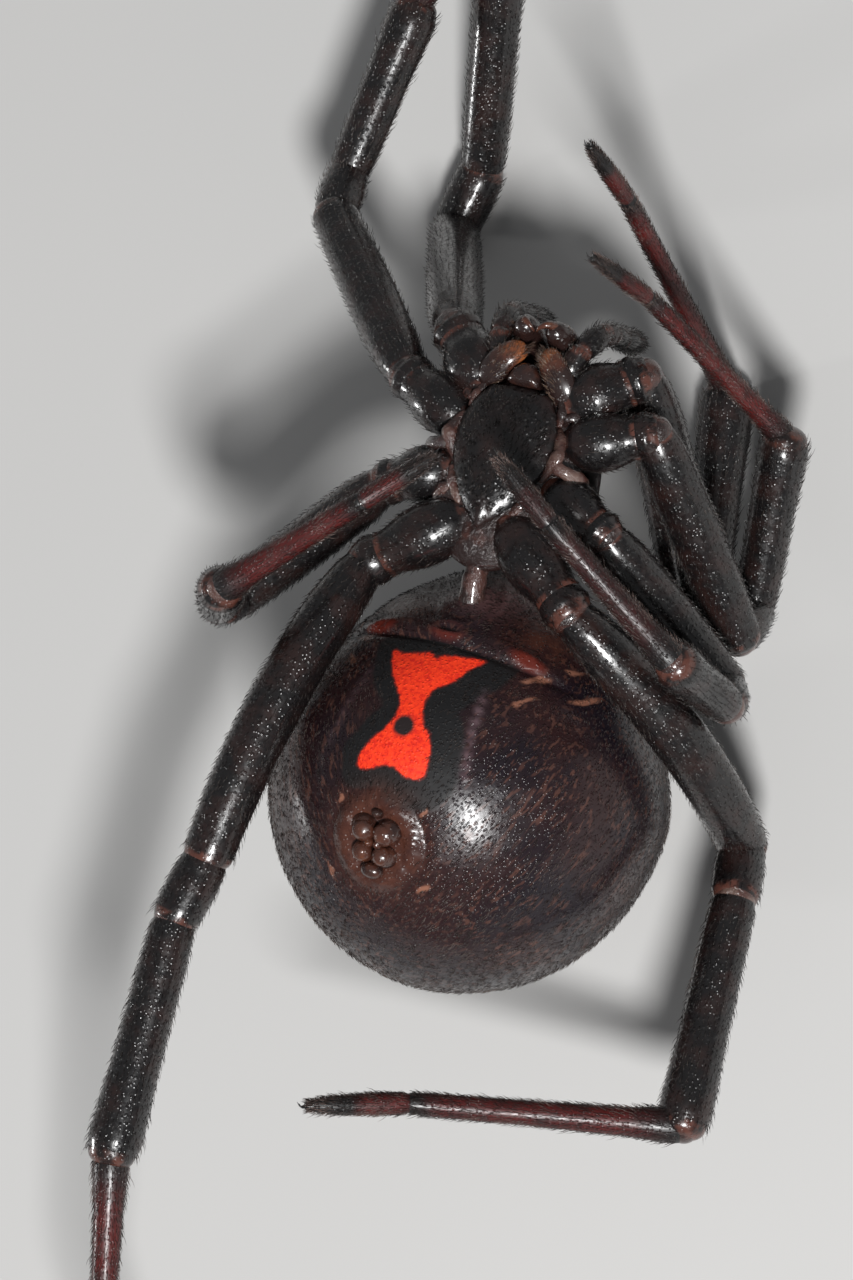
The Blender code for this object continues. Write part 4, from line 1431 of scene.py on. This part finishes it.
def build_jaws(paints):
    """Chelicerae with their folded fangs."""
    for side_name, side in SIDES.items():
        path = front_body(curve_through(np.array(JAW_PATH) * (side, 1.0, 1.0), JAW_RINGS))
        radii = JAW_RADIUS * np.interp(np.linspace(0.0, 1.0, JAW_RINGS), *JAW_TAPER)
        jaw = toned(sweep(path, radii, sides=32), "amber", -0.1)
        path = front_body(curve_through(np.array(FANG_PATH) * (side, 1.0, 1.0), len(FANG_RADII)))
        fang = toned(sweep(path, FANG_RADII), "amber", 0.35)
        points, faces, values = joined([jaw, fang])
        piece = new_object(f"chelicera_{side_name}_skin", points, faces, paints["mouth"], values)
        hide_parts(f"chelicera_{side_name}")


PALP_ROOT = (0.74, 1.98, -0.22)
PALP_BASE = (0.55, 1.45, -0.32)
PALP_BASE_PROFILE = ((0.0, 0.2), (0.5, 0.24), (1.0, 0.19))
PALP_OUTER = np.array((0.0, 1.0, 0.2))
PALP_JOINT = 0.155
PALP_STRETCHES = (               # name, heading, pitch and length
    ("femur", 74.0, -46.0, 0.6), ("patella", 80.0, -84.0, 0.33), ("tibia", 90.0, -89.0, 0.44),
    ("tarsus", 90.0, -89.0, 0.88),
)
PALP_PROFILES = {
    "femur": ((0.0, 0.15), (0.2, 0.2), (0.7, 0.21), (1.0, 0.18)),
    "patella": ((0.0, 0.17), (0.5, 0.21), (1.0, 0.18)),
    "tibia": ((0.0, 0.17), (0.5, 0.2), (1.0, 0.19)),
    "tarsus": ((0.0, 0.18), (0.3, 0.22), (0.75, 0.19), (1.0, 0.08)),
}


def palp_parts(side):
    """Parts of one palp from its base to its tip, and rings of membrane at its joints."""
    place = front_body((PALP_ROOT[0] * side, PALP_ROOT[1], PALP_ROOT[2]))
    base = front_body((PALP_BASE[0] * side, PALP_BASE[1], PALP_BASE[2]))
    parts = [Part("coxa", base, place, PALP_OUTER, PALP_BASE_PROFILE)]
    rings = [joint_ring(place, base, place + (0.0, 0.2, -0.1), 0.16)]
    for kind, heading, pitch, length in PALP_STRETCHES:
        turn, climb = math.radians(heading), math.radians(pitch)
        level = math.cos(climb)
        step = np.array((side * level * math.cos(turn), level * math.sin(turn), math.sin(climb)))
        following = place + step * length
        parts.append(Part(kind, place, following, PALP_OUTER, PALP_PROFILES[kind]))
        rings.append(ball(following, (PALP_JOINT,) * 3))
        place = following
    return parts, [toned(ring, "pale", 0.2) for ring in rings[:-1]]


def build_palps(paints):
    for side_name, side in SIDES.items():
        parts, rings = palp_parts(side)
        points, faces, values = joined([part.mesh(THIN_SIDES) for part in parts])
        piece = new_object(f"palp_{side_name}_skin", points, faces, paints["leg"], {"rim": values["rim"]})
        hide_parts(f"palp_{side_name}")
        points, faces, tone = joined(rings)
        joints = new_object(f"palp_{side_name}_joints", points, faces, paints["membrane"], tone)
        random = numbers(SEEDS["palps"] + (side_name == "left"))
        groups = [hairs_on_part(part, order, len(parts), random, 1.1) for order, part in enumerate(parts)]
        coat(f"palp_{side_name}_hairs", groups, paints["leg_hair"])


HEAD_MIDDLE = (0.0, 1.1, -1.2)
EYE_RADII = {"middle": 0.095, "side": 0.085}
EYE_SINK = 0.045


def build_eyes(paints):
    """Eight lenses, each sunk to half its depth in the carapace."""
    for node in sorted(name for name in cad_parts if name.startswith("eye_")):
        points, _ = node_mesh(node)
        centre = points.mean(axis=0)
        radius = EYE_RADII["middle" if "middle" in node else "side"]
        outward = unit(centre - front_body(HEAD_MIDDLE))
        lens, faces, _ = joined([ball(centre - outward * EYE_SINK, (radius,) * 3, rows=24, columns=32)])
        piece = new_object(f"{node}_lens", lens, faces, paints["eye"])
        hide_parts(node)


# Studio

FLOOR_HALF = 400.0
LIGHT_AIM = Vector((0.0, 1.5, 3.5))
LIGHTS = (                       # name, direction, distance, size and power
    ("key_light", (0.485, -0.322, 0.813), 170.0, 30.0, 0.42),
    ("side_light", (-0.926, -0.367, 0.13), 150.0, 14.0, 0.06),
)
WORLD_COLOUR = (0.9, 0.92, 0.95, 1.0)
WORLD_STRENGTH = 0.22


def add_light(name, direction, distance, size, power):
    light = bpy.data.lights.new(name, "AREA")
    light.shape = "DISK"
    light.size = size * MM
    light.energy = power
    lamp = bpy.data.objects.new(name, light)
    bpy.context.scene.collection.objects.link(lamp)
    place = LIGHT_AIM + Vector(direction).normalized() * distance
    lamp.location = place * MM
    lamp.rotation_euler = (LIGHT_AIM - place).to_track_quat("-Z", "Y").to_euler()


def build_studio(paints):
    half = FLOOR_HALF * MM
    corners = [(-half, -half, 0.0), (half, -half, 0.0), (half, half, 0.0), (-half, half, 0.0)]
    floor_mesh = bpy.data.meshes.new("floor")
    floor_mesh.from_pydata(corners, [], [(0, 1, 2, 3)])
    floor_mesh.materials.append(paints["floor"])
    floor = bpy.data.objects.new("floor", floor_mesh)
    bpy.context.scene.collection.objects.link(floor)
    for light in LIGHTS:
        add_light(*light)
    world = bpy.data.worlds.new("studio")
    world.use_nodes = True
    background = world.node_tree.nodes["Background"]
    background.inputs["Color"].default_value = WORLD_COLOUR
    background.inputs["Strength"].default_value = WORLD_STRENGTH
    bpy.context.scene.world = world
    bpy.context.scene.view_settings.view_transform = "Standard"


def build_camera():
    back = CAMERA_BACK.normalized()
    up = back.cross(CAMERA_RIGHT).normalized()
    right = up.cross(back).normalized()
    place = CAMERA_AIM + right * CAMERA_SLIDE[0] + up * CAMERA_SLIDE[1] + back * CAMERA_DISTANCE
    data = bpy.data.cameras.new("camera")
    data.sensor_width = SENSOR
    data.lens = SENSOR * CAMERA_DISTANCE / (PICTURE_HEIGHT / PICTURE_SCALE)
    data.clip_start = 1.0 * MM
    camera = bpy.data.objects.new("camera", data)
    turn = Matrix((right, up, back)).transposed().to_4x4()
    turn.translation = place * MM
    camera.matrix_world = turn
    bpy.context.scene.collection.objects.link(camera)
    bpy.context.scene.camera = camera


def make_paints():
    paints = {
        "abdomen": abdomen_material(),
        "shell": shell_material(),
        "leg": leg_material(),
        "foot": foot_material(),
        "mouth": mouth_material(),
        "membrane": membrane_material(),
        "eye": eye_material(),
        "floor": floor_material(),
    }
    paints.update({name: hair_material(name) for name in HAIR_COLOURS})
    return paints


def build_all():
    paints = make_paints()
    build_camera()
    build_studio(paints)
    build_abdomen(paints)
    build_spinnerets(paints)
    build_carapace(paints)
    build_sternum(paints)
    build_mouth(paints)
    build_flanks(paints)
    build_waist(paints)
    build_jaws(paints)
    build_palps(paints)
    build_eyes(paints)
    for side_name in SIDES:
        for number in COXA_ROOTS:
            build_leg(number, side_name, paints)


build_all()
